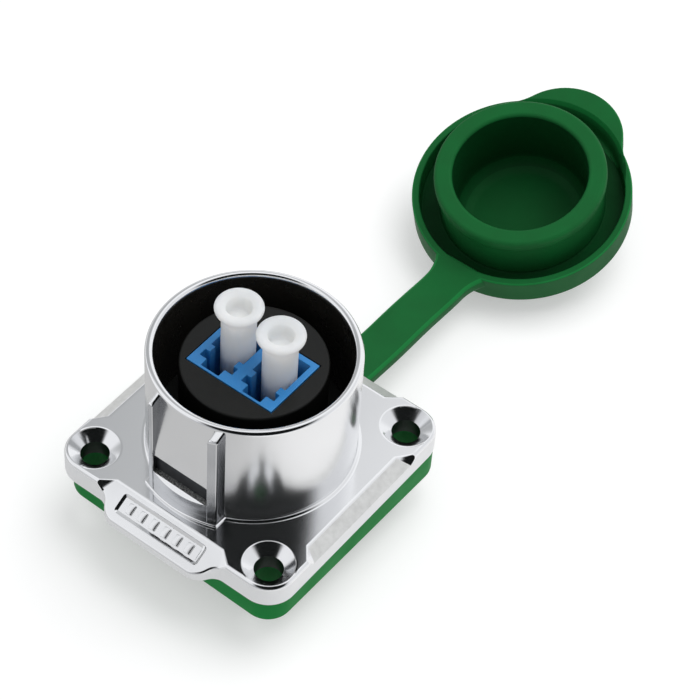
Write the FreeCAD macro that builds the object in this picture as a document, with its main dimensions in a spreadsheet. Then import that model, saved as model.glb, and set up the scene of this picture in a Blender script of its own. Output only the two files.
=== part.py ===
import FreeCAD
import Part
import math
import os
import Sketcher

# Panel socket for a duplex fibre connector, with its tethered cap. The origin is on the barrel's axis in
# the panel plane, which is the underside of the gasket. +Z points out of the panel, the sloping front tab
# is on the -Y side, and the strap leads to the cap along +Y.

# Driving dimensions: name, value and meaning. Lengths are millimetres and angles degrees.
DIMENSIONS = (
    ("hole_pitch", 27.0, "spacing of the panel screw holes"),
    ("hole_dia", 3.6, "panel screw hole"),
    ("sink_dia", 6.5, "countersink at the flange's face"),
    ("sink_angle", 108.0, "countersink's full angle"),
    ("flange_side", 34.4, "square flange, side to side"),
    ("flange_corner", 3.7, "radius of the flange's corners"),
    ("flange_low", 4.0, "underside of the flange, on the gasket"),
    ("flange_top", 7.2, "front face of the flange"),
    ("bevel_start", 15.4, "from the axis to the bevel's upper edge"),
    ("bevel_slope", 0.55, "fall of the bevel for each millimetre outwards"),
    ("bevel_half", 9.0, "half the bevel's length, between two corner pads"),
    ("tab_reach", 19.4, "from the axis to the front tab's edge"),
    ("tab_root", 8.6, "half width of the tab at the flange"),
    ("tab_tip", 7.1, "half width of the tab at its edge"),
    ("tab_round", 1.5, "rounding of the tab's corners"),
    ("barrel_rad", 12.9, "outside of the barrel"),
    ("rim_top", 23.5, "front rim of the barrel"),
    ("rim_rad", 11.85, "opening inside the rim"),
    ("rim_lip", 0.45, "height of the rim's inward lip"),
    ("rim_round", 0.3, "rounding of the rim's two edges"),
    ("bore_rad", 12.43, "bore behind the lip"),
    ("latch_half", 5.15, "half width of the latch block"),
    ("latch_rib", 1.05, "width of each rib beside the ramp"),
    ("latch_front", 13.66, "from the axis to the ribs' front"),
    ("latch_root", 11.5, "from the axis to the block's hidden back"),
    ("rib_front_top", 22.3, "top of the ribs at their front"),
    ("rib_back_top", 22.95, "top of the ribs at the barrel"),
    ("ramp_end", 22.5, "height at which the ramp runs out into the barrel"),
    ("ramp_top", 12.92, "from the axis to the ramp beside the rim"),
    ("notch_top", 13.2, "upper edge of the latch notch"),
    ("notch_low", 10.4, "top of the ledge under the notch"),
    ("ledge_rad", 14.2, "curved front of the ledge"),
    ("ledge_angle", 34.0, "sweep of the ledge round the barrel"),
    ("snap_low", 4.7, "underside of the snap ring"),
    ("snap_thick", 1.0, "thickness of the snap ring"),
    ("snap_in", 11.45, "inside radius of the snap ring"),
    ("snap_out", 12.95, "outside radius of the snap ring"),
    ("snap_gap", 6.0, "opening of the snap ring"),
    ("slack", 0.05, "gap at each fitted face"),
    ("liner_rad", 12.4, "outside of the insert in the bore"),
    ("moat_floor", 10.0, "floor of the ring-shaped gap round the boss"),
    ("boss_rad", 8.95, "centre boss of the insert"),
    ("boss_top", 21.4, "front face of the boss"),
    ("spigot_rad", 11.0, "insert behind the panel's face"),
    ("spigot_end", -5.0, "rear end of the socket"),
    ("neck_rad", 11.35, "insert inside the gasket and the snap ring"),
    ("seal_mid", 7.5, "height of the ring seal"),
    ("seal_width", 1.8, "width of the seal's groove"),
    ("seal_floor", 11.2, "floor radius of the seal's groove"),
    ("seal_rad", 11.815, "middle radius of the ring seal"),
    ("seal_thick", 0.6, "half thickness of the ring seal"),
    ("adapter_mid_y", -0.25, "middle of the adapter, off the axis"),
    ("front_wide", 12.8, "adapter's front half, width"),
    ("front_deep", 9.2, "adapter's front half, depth"),
    ("rear_wide", 13.6, "adapter's rear half, width"),
    ("rear_deep", 10.0, "adapter's rear half, depth"),
    ("adapter_joint", 9.5, "plane where the halves meet"),
    ("adapter_web", 1.0, "wall between the two ports of a channel"),
    ("pocket_slack", 0.1, "gap round the adapter in the insert"),
    ("port_pitch", 6.25, "spacing of the two channels"),
    ("port_half", 2.45, "half width of a port"),
    ("port_top", 3.85, "port's far wall, from the adapter's middle"),
    ("port_step", 3.07, "port's near wall, from the adapter's middle"),
    ("slot_half", 1.33, "half width of the port's latch slot"),
    ("slot_low", 4.25, "outer wall of the latch slot"),
    ("nub_half", 1.78, "half width between the guide nubs"),
    ("nub_near", 2.0, "near face of the nubs"),
    ("nub_far", 0.95, "far face of the nubs"),
    ("fibre_y", 0.85, "line of the two fibres, off the axis"),
    ("tube_rad", 1.2, "sleeve holder inside a port"),
    ("tube_reach", 4.2, "sleeve holder's end, from the joint"),
    ("sleeve_rad", 0.81, "outside of an alignment sleeve"),
    ("sleeve_bore", 0.625, "inside of an alignment sleeve"),
    ("sleeve_half", 3.4, "half length of an alignment sleeve"),
    ("sleeve_slit", 0.3, "slit along an alignment sleeve"),
    ("plug_low", 14.2, "inner end of a dust plug"),
    ("plug_top", 27.95, "outer end of a fully seated dust plug"),
    ("plug_lift", 0.35, "extra height of the left plug, not quite seated"),
    ("plug_rad", 2.125, "dust plug's shaft"),
    ("plug_bore", 1.45, "hollow in the dust plug's inner end"),
    ("plug_bore_end", 19.0, "end of that hollow"),
    ("head_rad", 2.97, "dust plug's head"),
    ("head_thick", 2.0, "height of the head with its cone"),
    ("head_edge", 0.5, "height of the head's full-width part"),
    ("head_round", 0.45, "rounding of the head"),
    ("dish_rad", 1.55, "dished hollow on the head"),
    ("dish_floor", 1.1, "floor radius of the dish"),
    ("dish_deep", 1.0, "depth of the dish"),
    ("plate_thick", 1.8, "rear retainer plate"),
    ("plate_rad", 10.2, "rear retainer plate's radius"),
    ("window_wide", 11.3, "plate's window, width"),
    ("window_deep", 8.4, "plate's window, depth"),
    ("screw_x", 8.1, "retainer screws, from the axis"),
    ("screw_rad", 0.85, "retainer screw's shank"),
    ("screw_head", 1.6, "retainer screw's head"),
    ("screw_sink", 0.75, "height of the screw's cone"),
    ("screw_end", 2.0, "inner end of the screw"),
    ("drive_long", 1.8, "cross recess, length"),
    ("drive_wide", 0.4, "cross recess, width"),
    ("drive_deep", 0.5, "cross recess, depth"),
    ("gasket_side", 33.5, "gasket, side to side"),
    ("gasket_corner", 3.2, "radius of the gasket's corners"),
    ("gasket_hole", 11.8, "gasket's centre opening"),
    ("strap_wide", 5.9, "width of the strap"),
    ("strap_half", 1.0, "half thickness of the strap"),
    ("strap_long", 23.29, "between the strap's two flex lines"),
    ("strap_fall", 5.3, "fall of the strap from gasket to cap"),
    ("bend_y", 19.65, "flex line beside the gasket"),
    ("bend_gap", 0.35, "gap at a flex line"),
    ("cap_y", 57.0, "middle of the cap's ring end"),
    ("cap_z", 9.6, "height of that point"),
    ("cap_tilt", 14.5, "tilt of the cap as it lies"),
    ("cap_twist", 2.0, "turn of the cap about its own axis"),
    ("ring_in", 9.25, "inside of the cap's ring"),
    ("ring_out", 11.65, "outside of the cap's ring"),
    ("ring_round", 0.4, "rounding of the ring's end"),
    ("cup_deep", 11.4, "depth of the cap's hollow"),
    ("groove_deep", 7.7, "ring end to the floor of the rim groove"),
    ("lip_deep", 5.95, "ring end to the lip's edge"),
    ("lip_in", 13.25, "inside of the lip"),
    ("cap_rad", 15.03, "outside of the lip at its edge"),
    ("skirt_rad", 14.75, "outside of the lip at its underside"),
    ("skirt_deep", 8.5, "ring end to the lip's underside"),
    ("dome_rad", 10.6, "raised back of the cap"),
    ("dome_deep", 12.4, "ring end to the raised back's face"),
    ("dome_round", 1.2, "rounding of the raised back"),
    ("pull_mid", 11.2, "middle of the pull tab's round"),
    ("pull_rad", 8.4, "radius of the pull tab's round"),
)

doc = FreeCAD.newDocument("fibre_socket")


def make_sheet():
    """Puts every driving dimension in a spreadsheet cell with its name as alias."""
    table = doc.addObject("Spreadsheet::Sheet", "dim")
    for row, (alias, value, meaning) in enumerate(DIMENSIONS, start=1):
        table.set(f"A{row}", meaning)
        table.set(f"B{row}", str(value))
        table.setAlias(f"B{row}", alias)
    doc.recompute()
    return table


sheet = make_sheet()


def new_body(label):
    """Starts a sub-part."""
    body = doc.addObject("PartDesign::Body", label)
    body.Label = label
    return body


def new_sketch(body, plane, height):
    """Starts a sketch on one of the body's own planes, lifted along that plane's normal."""
    sketch = body.newObject("Sketcher::SketchObject", "outline")
    support = next(item for item in body.Origin.OriginFeatures if item.Role == plane)
    sketch.AttachmentSupport = [(support, "")]
    sketch.MapMode = "FlatFace"
    sketch.setExpression("AttachmentOffset.Base.z", height)
    return sketch


def tie(sketch, kind, geometry, point, start, expression):
    """Holds one coordinate of a sketch point at an expression."""
    index = sketch.addConstraint(Sketcher.Constraint(kind, -1, 1, geometry, point, start))
    sketch.setExpression(f"Constraints[{index}]", expression)


def polygon(body, corners, plane="XY_Plane", height="0"):
    """Draws a closed outline of straight lines, each corner given as two expressions."""
    sketch = new_sketch(body, plane, height)
    count = len(corners)
    turns = [2 * math.pi * k / count for k in range(count)]
    starts = [FreeCAD.Vector(10 * math.cos(turn), 10 * math.sin(turn), 0) for turn in turns]
    for k in range(count):
        sketch.addGeometry(Part.LineSegment(starts[k], starts[(k + 1) % count]))
    for k in range(count):
        sketch.addConstraint(Sketcher.Constraint("Coincident", k, 2, (k + 1) % count, 1))
    for k, (across, along) in enumerate(corners):
        tie(sketch, "DistanceX", k, 1, starts[k].x, across)
        tie(sketch, "DistanceY", k, 1, starts[k].y, along)
    doc.recompute()
    return sketch


def rectangle(body, wide, deep, mid_x="0", mid_y="0", plane="XY_Plane", height="0"):
    """Draws a rectangle about a middle point."""
    west, east = f"{mid_x} - ({wide}) / 2", f"{mid_x} + ({wide}) / 2"
    south, north = f"{mid_y} - ({deep}) / 2", f"{mid_y} + ({deep}) / 2"
    return polygon(body, [(west, south), (east, south), (east, north), (west, north)], plane, height)


def circles(body, middles, radius, plane="XY_Plane", height="0"):
    """Draws equal circles at the given middle points."""
    sketch = new_sketch(body, plane, height)
    for k, (across, along) in enumerate(middles):
        start = FreeCAD.Vector(5.0 * k + 1, 5.0 * k + 1, 0)
        sketch.addGeometry(Part.Circle(start, FreeCAD.Vector(0, 0, 1), 1.0))
        tie(sketch, "DistanceX", k, 3, start.x, across)
        tie(sketch, "DistanceY", k, 3, start.y, along)
        index = sketch.addConstraint(Sketcher.Constraint("Radius", k, 1.0))
        sketch.setExpression(f"Constraints[{index}]", radius)
    doc.recompute()
    return sketch


def feature(body, kind, sketch, expressions, symmetric=False):
    """Adds a sketch-based feature and proves that it changed the solid."""
    before = body.Shape.Volume if body.Tip else 0.0
    made = body.newObject(f"PartDesign::{kind}", kind)
    made.Profile = sketch
    if kind in ("Revolution", "Groove"):
        made.ReferenceAxis = (sketch, ["V_Axis"])
    if symmetric:
        made.Midplane = True
    for name, expression in expressions.items():
        made.setExpression(name, expression)
    doc.recompute()
    change = body.Shape.Volume - before
    if abs(change) < 1e-4 or (change < 0) != (kind in ("Pocket", "Groove")):
        raise RuntimeError(f"{body.Label}: {kind} on {sketch.Name} changed the volume by {change:.4f}")
    return made


def pad(body, sketch, length, symmetric=False):
    return feature(body, "Pad", sketch, {"Length": length}, symmetric)


def pocket(body, sketch, length, symmetric=False):
    return feature(body, "Pocket", sketch, {"Length": length}, symmetric)


def turned(body, corners, angle="360", symmetric=False, plane="XZ_Plane"):
    """Turns an outline of radius and height about the body's Z axis."""
    return feature(body, "Revolution", polygon(body, corners, plane), {"Angle": angle}, symmetric)


def turned_away(body, corners):
    """Cuts an outline of radius and height away, all round the body's Z axis."""
    return feature(body, "Groove", polygon(body, corners, "XZ_Plane"), {"Angle": "360"})


def rounded(body, choose, radius):
    """Rounds the edges for which the chooser says yes."""
    names = [f"Edge{k}" for k, edge in enumerate(body.Shape.Edges, start=1) if choose(edge)]
    if not names:
        raise RuntimeError(f"{body.Label}: no edge to round")
    base = body.Tip
    made = body.newObject("PartDesign::Fillet", "Fillet")
    made.Base = (base, names)
    made.setExpression("Radius", radius)
    doc.recompute()
    return made


def upright(edge):
    """True for a straight edge along Z."""
    box = edge.BoundBox
    return box.XLength < 1e-6 and box.YLength < 1e-6


def hoop(radius, height):
    """Chooser for round edges about the Z axis with this radius and height."""
    def choose(edge):
        box = edge.BoundBox
        flat = box.ZLength < 1e-4 and abs(box.ZMin - height) < 1e-3
        reach = max(math.hypot(vertex.X, vertex.Y) for vertex in edge.Vertexes)
        return flat and edge.Curve.TypeId == "Part::GeomCircle" and abs(reach - radius) < 1e-3
    return choose


def value(name):
    """A driving dimension's number, for choosing edges."""
    return sheet.get(name)


def hole_middles():
    """The four panel screw positions."""
    half = "dim.hole_pitch / 2"
    return [(f"{sx} * {half}", f"{sy} * {half}") for sx in (-1, 1) for sy in (-1, 1)]


def make_shell():
    """One casting: flange with bevels and tab, barrel with latch block, bore and screw holes."""
    body = new_body("shell")
    side, reach = "dim.flange_side / 2", "dim.tab_reach"
    outline = [(side, f"-{side}"), (side, side), (f"-{side}", side), (f"-{side}", f"-{side}"),
               ("-dim.tab_root", f"-{side}"), ("-dim.tab_tip", f"-{reach}"),
               ("dim.tab_tip", f"-{reach}"), ("dim.tab_root", f"-{side}")]
    pad(body, polygon(body, outline, height="dim.flange_low"), "dim.flange_top - dim.flange_low")
    tab_edge = value("tab_root") + 0.01
    rounded(body, lambda edge: upright(edge) and abs(edge.BoundBox.XMin) > tab_edge, "dim.flange_corner")
    tab_corners = (value("tab_root"), value("tab_tip"))

    def at_tab(edge):
        return upright(edge) and any(abs(abs(edge.BoundBox.XMin) - x) < 0.01 for x in tab_corners)

    rounded(body, at_tab, "dim.tab_round")
    for plane, sign in (("YZ_Plane", "-"), ("YZ_Plane", ""), ("XZ_Plane", "-"), ("XZ_Plane", "")):
        bevel = [(f"{sign}dim.bevel_start", "dim.flange_top"),
                 (f"{sign}(dim.tab_reach + 1)",
                  "dim.flange_top - dim.bevel_slope * (dim.tab_reach + 1 - dim.bevel_start)"),
                 (f"{sign}(dim.tab_reach + 1)", "dim.flange_top + 1"),
                 (f"{sign}dim.bevel_start", "dim.flange_top + 1")]
        pocket(body, polygon(body, bevel, plane), "2 * dim.bevel_half", symmetric=True)
    axis = [("0", "0")]
    barrel = circles(body, axis, "dim.barrel_rad", height="dim.flange_low")
    pad(body, barrel, "dim.rim_top - dim.flange_low")

    block = [("-dim.latch_root", "dim.flange_low"), ("-dim.latch_front", "dim.flange_low"),
             ("-dim.latch_front", "dim.rib_front_top"), ("-dim.barrel_rad", "dim.rib_back_top"),
             ("-dim.latch_root", "dim.rib_back_top")]
    pad(body, polygon(body, block, "YZ_Plane"), "2 * dim.latch_half", symmetric=True)
    between_ribs = "2 * (dim.latch_half - dim.latch_rib)"
    outside = "-(dim.ledge_rad + 1)"
    above_ramp = [(outside, "dim.notch_top"), ("-dim.latch_front", "dim.notch_top"),
                  ("-dim.ramp_top", "dim.ramp_end"), ("-dim.ramp_top", "dim.rim_top"),
                  (outside, "dim.rim_top")]
    pocket(body, polygon(body, above_ramp, "YZ_Plane"), between_ribs, symmetric=True)
    notch = [(outside, "dim.notch_low"), ("-dim.barrel_rad", "dim.notch_low"),
             ("-dim.barrel_rad", "dim.notch_top"), (outside, "dim.notch_top")]
    pocket(body, polygon(body, notch, "YZ_Plane"), between_ribs, symmetric=True)
    ledge = [("-dim.latch_root", "dim.flange_low"), ("-dim.ledge_rad", "dim.flange_low"),
             ("-dim.ledge_rad", "dim.notch_low"), ("-dim.latch_root", "dim.notch_low")]
    turned(body, ledge, "dim.ledge_angle", symmetric=True, plane="YZ_Plane")

    lip_low = "dim.rim_top - dim.rim_lip"
    pocket(body, circles(body, axis, "dim.bore_rad", height=lip_low), f"{lip_low} - dim.flange_low")
    pocket(body, circles(body, axis, "dim.rim_rad", height="dim.rim_top"), "dim.rim_lip")
    snap_top = "dim.snap_low + dim.snap_thick + dim.slack"
    snap_groove = circles(body, axis, "dim.snap_out + dim.slack", height=snap_top)
    pocket(body, snap_groove, "dim.snap_thick + 2 * dim.slack")
    screws = circles(body, hole_middles(), "dim.hole_dia / 2", height="dim.flange_top")
    hole = body.newObject("PartDesign::Hole", "Hole")
    hole.Profile = screws
    doc.recompute()
    hole.DepthType = "ThroughAll"
    hole.HoleCutType = "Countersink"
    hole.HoleCutCustomValues = True
    hole.setExpression("Diameter", "dim.hole_dia")
    hole.setExpression("HoleCutDiameter", "dim.sink_dia")
    hole.setExpression("HoleCutCountersinkAngle", "dim.sink_angle")
    doc.recompute()
    rim_edges = (hoop(value("barrel_rad"), value("rim_top")), hoop(value("rim_rad"), value("rim_top")))
    rounded(body, lambda edge: any(choose(edge) for choose in rim_edges), "dim.rim_round")
    return body


def make_insert():
    """Black moulding: liner, boss, seal groove and spigot, and the adapter's stepped pocket."""
    body = new_body("insert")
    shoulder = "dim.snap_low + dim.snap_thick + dim.slack"
    front = "dim.rim_top - dim.rim_lip - dim.slack"
    groove_low, groove_top = "dim.seal_mid - dim.seal_width / 2", "dim.seal_mid + dim.seal_width / 2"
    spigot, neck, floor = "dim.spigot_rad", "dim.neck_rad", "dim.seal_floor"
    liner, inside, boss = "dim.liner_rad", "dim.rim_rad", "dim.boss_rad"
    turned(body, [("0", "dim.spigot_end"), (spigot, "dim.spigot_end"), (spigot, "0"), (neck, "0"),
                  (neck, shoulder), (liner, shoulder), (liner, groove_low), (floor, groove_low),
                  (floor, groove_top), (liner, groove_top),
                  (liner, front), (inside, front), (inside, "dim.moat_floor"), (boss, "dim.moat_floor"),
                  (boss, "dim.boss_top"), ("0", "dim.boss_top")])
    room = "2 * dim.pocket_slack"
    front_pocket = rectangle(body, f"dim.front_wide + {room}", f"dim.front_deep + {room}",
                             mid_y="dim.adapter_mid_y", height="dim.boss_top")
    pocket(body, front_pocket, "dim.boss_top - dim.adapter_joint")
    rear_pocket = rectangle(body, f"dim.rear_wide + {room}", f"dim.rear_deep + {room}",
                            mid_y="dim.adapter_mid_y", height="dim.adapter_joint")
    pocket(body, rear_pocket, "dim.adapter_joint - dim.spigot_end")
    seat = "dim.spigot_end + dim.plate_thick"
    pocket(body, circles(body, [("0", "0")], "dim.plate_rad + dim.slack", height=seat), "dim.plate_thick")
    screws = [("-dim.screw_x", "0"), ("dim.screw_x", "0")]
    pocket(body, circles(body, screws, "dim.screw_rad", height="dim.screw_end + 1"),
           f"dim.screw_end + 1 - ({seat})")
    return body


def port_outline(side):
    """Outline of one port: a square hole with a latch slot, its two shoulders and two guide nubs."""
    half = [("dim.slot_half", "-dim.slot_low"), ("dim.slot_half", "-dim.port_step"),
            ("dim.port_half", "-dim.port_step"), ("dim.port_half", "-dim.nub_near"),
            ("dim.nub_half", "-dim.nub_near"), ("dim.nub_half", "-dim.nub_far"),
            ("dim.port_half", "-dim.nub_far"), ("dim.port_half", "dim.port_top")]
    middle = f"{side} * dim.port_pitch / 2"
    right = [(f"{middle} + {x}", f"dim.adapter_mid_y + {y}") for x, y in half]
    left = [(f"{middle} - {x}", f"dim.adapter_mid_y + {y}") for x, y in reversed(half)]
    return right + left


def fibre_middles():
    """The two fibre lines."""
    return [("-dim.port_pitch / 2", "dim.fibre_y"), ("dim.port_pitch / 2", "dim.fibre_y")]


def make_adapter_half(label, wide, deep, low, top, ports_top, tube_top, holder_top):
    """A half of the duplex adapter: block, two ports, and the sleeve holder standing in each port."""
    body = new_body(label)
    pad(body, rectangle(body, wide, deep, mid_y="dim.adapter_mid_y", height=low), f"{top} - ({low})")
    depth = f"{top} - dim.adapter_joint - dim.adapter_web"
    if ports_top != top:
        depth = f"{ports_top} - ({low})"
    for side in (-1, 1):
        pocket(body, polygon(body, port_outline(side), height=ports_top), depth)
    tubes = circles(body, fibre_middles(), "dim.tube_rad", height=tube_top)
    pad(body, tubes, "dim.tube_reach - dim.adapter_web")
    bores = circles(body, fibre_middles(), "dim.sleeve_rad + dim.slack / 2", height=holder_top)
    pocket(body, bores, "dim.tube_reach")
    return body


def make_adapter():
    """Front and rear halves, which meet behind the boss."""
    joint = "dim.adapter_joint"
    make_adapter_half("adapter_front", "dim.front_wide", "dim.front_deep", joint, "dim.boss_top",
                      "dim.boss_top", f"{joint} + dim.adapter_web", f"{joint} + dim.tube_reach")
    rear_end = "dim.spigot_end + dim.plate_thick"
    make_adapter_half("adapter_rear", "dim.rear_wide", "dim.rear_deep", rear_end, joint,
                      f"{joint} - dim.adapter_web", f"{joint} - dim.tube_reach", joint)


def make_sleeve(label, side):
    """Split ceramic sleeve that lines up two fibre tips."""
    body = new_body(label)
    low, top = "dim.adapter_joint - dim.sleeve_half", "dim.adapter_joint + dim.sleeve_half"
    turned(body, [("dim.sleeve_bore", low), ("dim.sleeve_rad", low), ("dim.sleeve_rad", top),
                  ("dim.sleeve_bore", top)])
    pocket(body, rectangle(body, "dim.sleeve_slit", "dim.sleeve_rad", mid_y="dim.sleeve_rad", height=top),
           "2 * dim.sleeve_half")
    body.setExpression("Placement.Base.x", f"{side} * dim.port_pitch / 2")
    body.setExpression("Placement.Base.y", "dim.fibre_y")
    doc.recompute()


def make_dust_plug(label, side, lift):
    """White push-in plug with a flared, rounded head, a dish on top and a hollow inner end."""
    body = new_body(label)
    top, low, hollow_end = "dim.plug_top", "dim.plug_low", "dim.plug_bore_end"
    turned(body, [("dim.plug_bore", low), ("dim.plug_rad", low),
                  ("dim.plug_rad", f"{top} - dim.head_thick"),
                  ("dim.head_rad", f"{top} - dim.head_edge"), ("dim.head_rad", top), ("dim.dish_rad", top),
                  ("dim.dish_floor", f"{top} - dim.dish_deep"), ("0", f"{top} - dim.dish_deep"),
                  ("0", hollow_end), ("dim.plug_bore", hollow_end)])
    rounded(body, hoop(value("head_rad"), value("plug_top")), "dim.head_round")
    body.setExpression("Placement.Base.x", f"{side} * dim.port_pitch / 2")
    body.setExpression("Placement.Base.y", "dim.fibre_y")
    body.setExpression("Placement.Base.z", lift)
    doc.recompute()


def make_rear_retainer():
    """Plate behind the adapter, with a window for the rear ports and two screw holes."""
    body = new_body("rear_retainer")
    top = "dim.spigot_end + dim.plate_thick"
    pad(body, circles(body, [("0", "0")], "dim.plate_rad", height="dim.spigot_end"), "dim.plate_thick")
    window = rectangle(body, "dim.window_wide", "dim.window_deep", mid_y="dim.adapter_mid_y", height=top)
    pocket(body, window, "dim.plate_thick")
    for side in (-1, 1):
        middle = [(f"{side} * dim.screw_x", "0")]
        pocket(body, circles(body, middle, "dim.screw_rad + dim.slack", height=top), "dim.plate_thick")
        cone = body.newObject("PartDesign::SubtractiveCone", "Countersink")
        cone.setExpression("Radius1", "dim.screw_head + dim.slack")
        cone.setExpression("Radius2", "dim.screw_rad + dim.slack")
        cone.setExpression("Height", "dim.screw_sink")
        cone.setExpression("Placement.Base.x", middle[0][0])
        cone.setExpression("Placement.Base.z", "dim.spigot_end")
        doc.recompute()


def make_retainer_screw(label, side):
    """Small countersunk screw with a cross recess and a pointed end."""
    body = new_body(label)
    low = "dim.spigot_end"
    shank = "dim.screw_rad - dim.slack"
    turned(body, [("0", low), ("dim.screw_head", low), (shank, f"{low} + dim.screw_sink"),
                  (shank, "dim.screw_end - dim.screw_rad"), ("0", "dim.screw_end")])
    recess = f"{low} + dim.drive_deep"
    pocket(body, rectangle(body, "dim.drive_long", "dim.drive_wide", height=recess), "dim.drive_deep")
    pocket(body, rectangle(body, "dim.drive_wide", "dim.drive_long", height=recess), "dim.drive_deep")
    body.setExpression("Placement.Base.x", f"{side} * dim.screw_x")
    doc.recompute()


def make_insert_seal():
    """Ring seal in the insert's groove."""
    ring = doc.addObject("Part::Torus", "insert_seal")
    ring.Label = "insert_seal"
    ring.setExpression("Radius1", "dim.seal_rad")
    ring.setExpression("Radius2", "dim.seal_thick")
    ring.setExpression("Placement.Base.z", "dim.seal_mid")
    doc.recompute()


def make_retaining_ring():
    """Open snap ring that sits in the bore's groove, under the insert's shoulder."""
    body = new_body("retaining_ring")
    top = "dim.snap_low + dim.snap_thick"
    turned(body, [("dim.snap_in", "dim.snap_low"), ("dim.snap_out", "dim.snap_low"), ("dim.snap_out", top),
                  ("dim.snap_in", top)])
    pocket(body, rectangle(body, "dim.snap_gap", "2 * dim.snap_out", mid_y="dim.snap_out", height=top),
           "dim.snap_thick")


def make_gasket():
    """Rubber gasket between flange and panel, with the root of the strap on its +Y edge."""
    body = new_body("gasket")
    pad(body, rectangle(body, "dim.gasket_side", "dim.gasket_side"), "dim.flange_low")
    rounded(body, upright, "dim.gasket_corner")
    root_end = "dim.bend_y - dim.strap_half - dim.bend_gap"
    root_start = "dim.gasket_side / 2 - 1"
    pad(body, rectangle(body, "dim.strap_wide", f"{root_end} - ({root_start})",
                        mid_y=f"({root_end} + {root_start}) / 2"), "2 * dim.strap_half")
    pocket(body, circles(body, [("0", "0")], "dim.gasket_hole", height="dim.flange_low"), "dim.flange_low")
    screws = circles(body, hole_middles(), "dim.hole_dia / 2", height="dim.flange_low")
    pocket(body, screws, "dim.flange_low")


def make_strap():
    """Flat strap between its two flex lines, drawn along its own length from the gasket's one."""
    body = new_body("strap")
    length = rectangle(body, "dim.strap_long", "2 * dim.strap_half", mid_x="dim.strap_long / 2",
                       plane="YZ_Plane")
    pad(body, length, "dim.strap_wide", symmetric=True)
    for place in ("0", "dim.strap_long"):
        knuckle = circles(body, [(place, "0")], "dim.strap_half", plane="YZ_Plane")
        pad(body, knuckle, "dim.strap_wide", symmetric=True)
    body.Placement.Rotation = FreeCAD.Rotation(FreeCAD.Vector(1, 0, 0), -value("strap_fall"))
    body.setExpression("Placement.Base.y", "dim.bend_y")
    body.setExpression("Placement.Base.z", "dim.strap_half")
    doc.recompute()


def pull_tab_outline(body):
    """Draws the half round of the pull tab on the underside of the lip."""
    sketch = new_sketch(body, "XY_Plane", "-dim.skirt_deep")
    middle = FreeCAD.Vector(0, 11, 0)
    sketch.addGeometry(Part.ArcOfCircle(Part.Circle(middle, FreeCAD.Vector(0, 0, 1), 8), 0, math.pi))
    sketch.addGeometry(Part.LineSegment(FreeCAD.Vector(-8, 11, 0), FreeCAD.Vector(8, 11, 0)))
    sketch.addConstraint(Sketcher.Constraint("Coincident", 0, 2, 1, 1))
    sketch.addConstraint(Sketcher.Constraint("Coincident", 0, 1, 1, 2))
    sketch.addConstraint(Sketcher.Constraint("PointOnObject", 0, 3, -2))
    sketch.addConstraint(Sketcher.Constraint("PointOnObject", 0, 3, 1))
    sketch.addConstraint(Sketcher.Constraint("Horizontal", 1))
    tie(sketch, "DistanceY", 0, 3, 11.0, "dim.pull_mid")
    radius = sketch.addConstraint(Sketcher.Constraint("Radius", 0, 8.0))
    sketch.setExpression(f"Constraints[{radius}]", "dim.pull_rad")
    doc.recompute()
    return sketch


def make_cap():
    """Push-in cap, drawn about its own axis with the ring's end at zero and the back below."""
    body = new_body("cap")
    turned(body, [("0", "-dim.cup_deep"), ("dim.ring_in", "-dim.cup_deep"), ("dim.ring_in", "0"),
                  ("dim.ring_out", "0"), ("dim.ring_out", "-dim.lip_deep"),
                  ("dim.cap_rad", "-dim.lip_deep"),
                  ("dim.skirt_rad", "-dim.skirt_deep"), ("dim.dome_rad", "-dim.skirt_deep"),
                  ("dim.dome_rad", "-dim.dome_deep"), ("0", "-dim.dome_deep")])
    ring_end = (hoop(value("ring_in"), 0.0), hoop(value("ring_out"), 0.0))
    rounded(body, lambda edge: any(choose(edge) for choose in ring_end), "dim.ring_round")
    rounded(body, hoop(value("dome_rad"), -value("dome_deep")), "dim.dome_round")
    pad(body, pull_tab_outline(body), "dim.skirt_deep - dim.lip_deep")
    turned_away(body, [("dim.ring_out", "-dim.groove_deep"), ("dim.lip_in", "-dim.groove_deep"),
                       ("dim.lip_in", "-dim.lip_deep + 1"), ("dim.ring_out", "-dim.lip_deep + 1")])
    tilt = FreeCAD.Rotation(FreeCAD.Vector(1, 0, 0), value("cap_tilt"))
    twist = FreeCAD.Rotation(FreeCAD.Vector(0, 0, 1), value("cap_twist"))
    body.Placement.Rotation = tilt.multiply(twist)
    body.setExpression("Placement.Base.y", "dim.cap_y")
    body.setExpression("Placement.Base.z", "dim.cap_z")
    doc.recompute()


def write_parts():
    """Checks every object and sub-part, then writes one file for each sub-part."""
    failed = [item.Name for item in doc.Objects if "Invalid" in item.State or "Error" in item.State]
    kinds = ("PartDesign::Body", "Part::Torus")
    parts = [item for item in doc.Objects if item.TypeId in kinds]
    for part in parts:
        if part.Shape.isNull() or not part.Shape.isValid() or len(part.Shape.Solids) != 1:
            failed.append(part.Label)
    if failed:
        raise RuntimeError(f"not written, failed: {failed}")
    os.makedirs("parts", exist_ok=True)
    for part in parts:
        part.Shape.exportStep(f"parts/{part.Label}.step")
        box = part.Shape.BoundBox
        print(f"{part.Label}: {part.Shape.Volume:.1f} mm3, z {box.ZMin:.2f} to {box.ZMax:.2f}")


make_shell()
make_insert()
make_insert_seal()
make_retaining_ring()
make_adapter()
for side_name, side_sign, plug_lift in (("left", -1, "dim.plug_lift"), ("right", 1, "0")):
    make_sleeve(f"sleeve_{side_name}", side_sign)
    make_dust_plug(f"dust_plug_{side_name}", side_sign, plug_lift)
    make_retainer_screw(f"retainer_screw_{side_name}", side_sign)
make_rear_retainer()
make_gasket()
make_strap()
make_cap()
write_parts()
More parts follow.
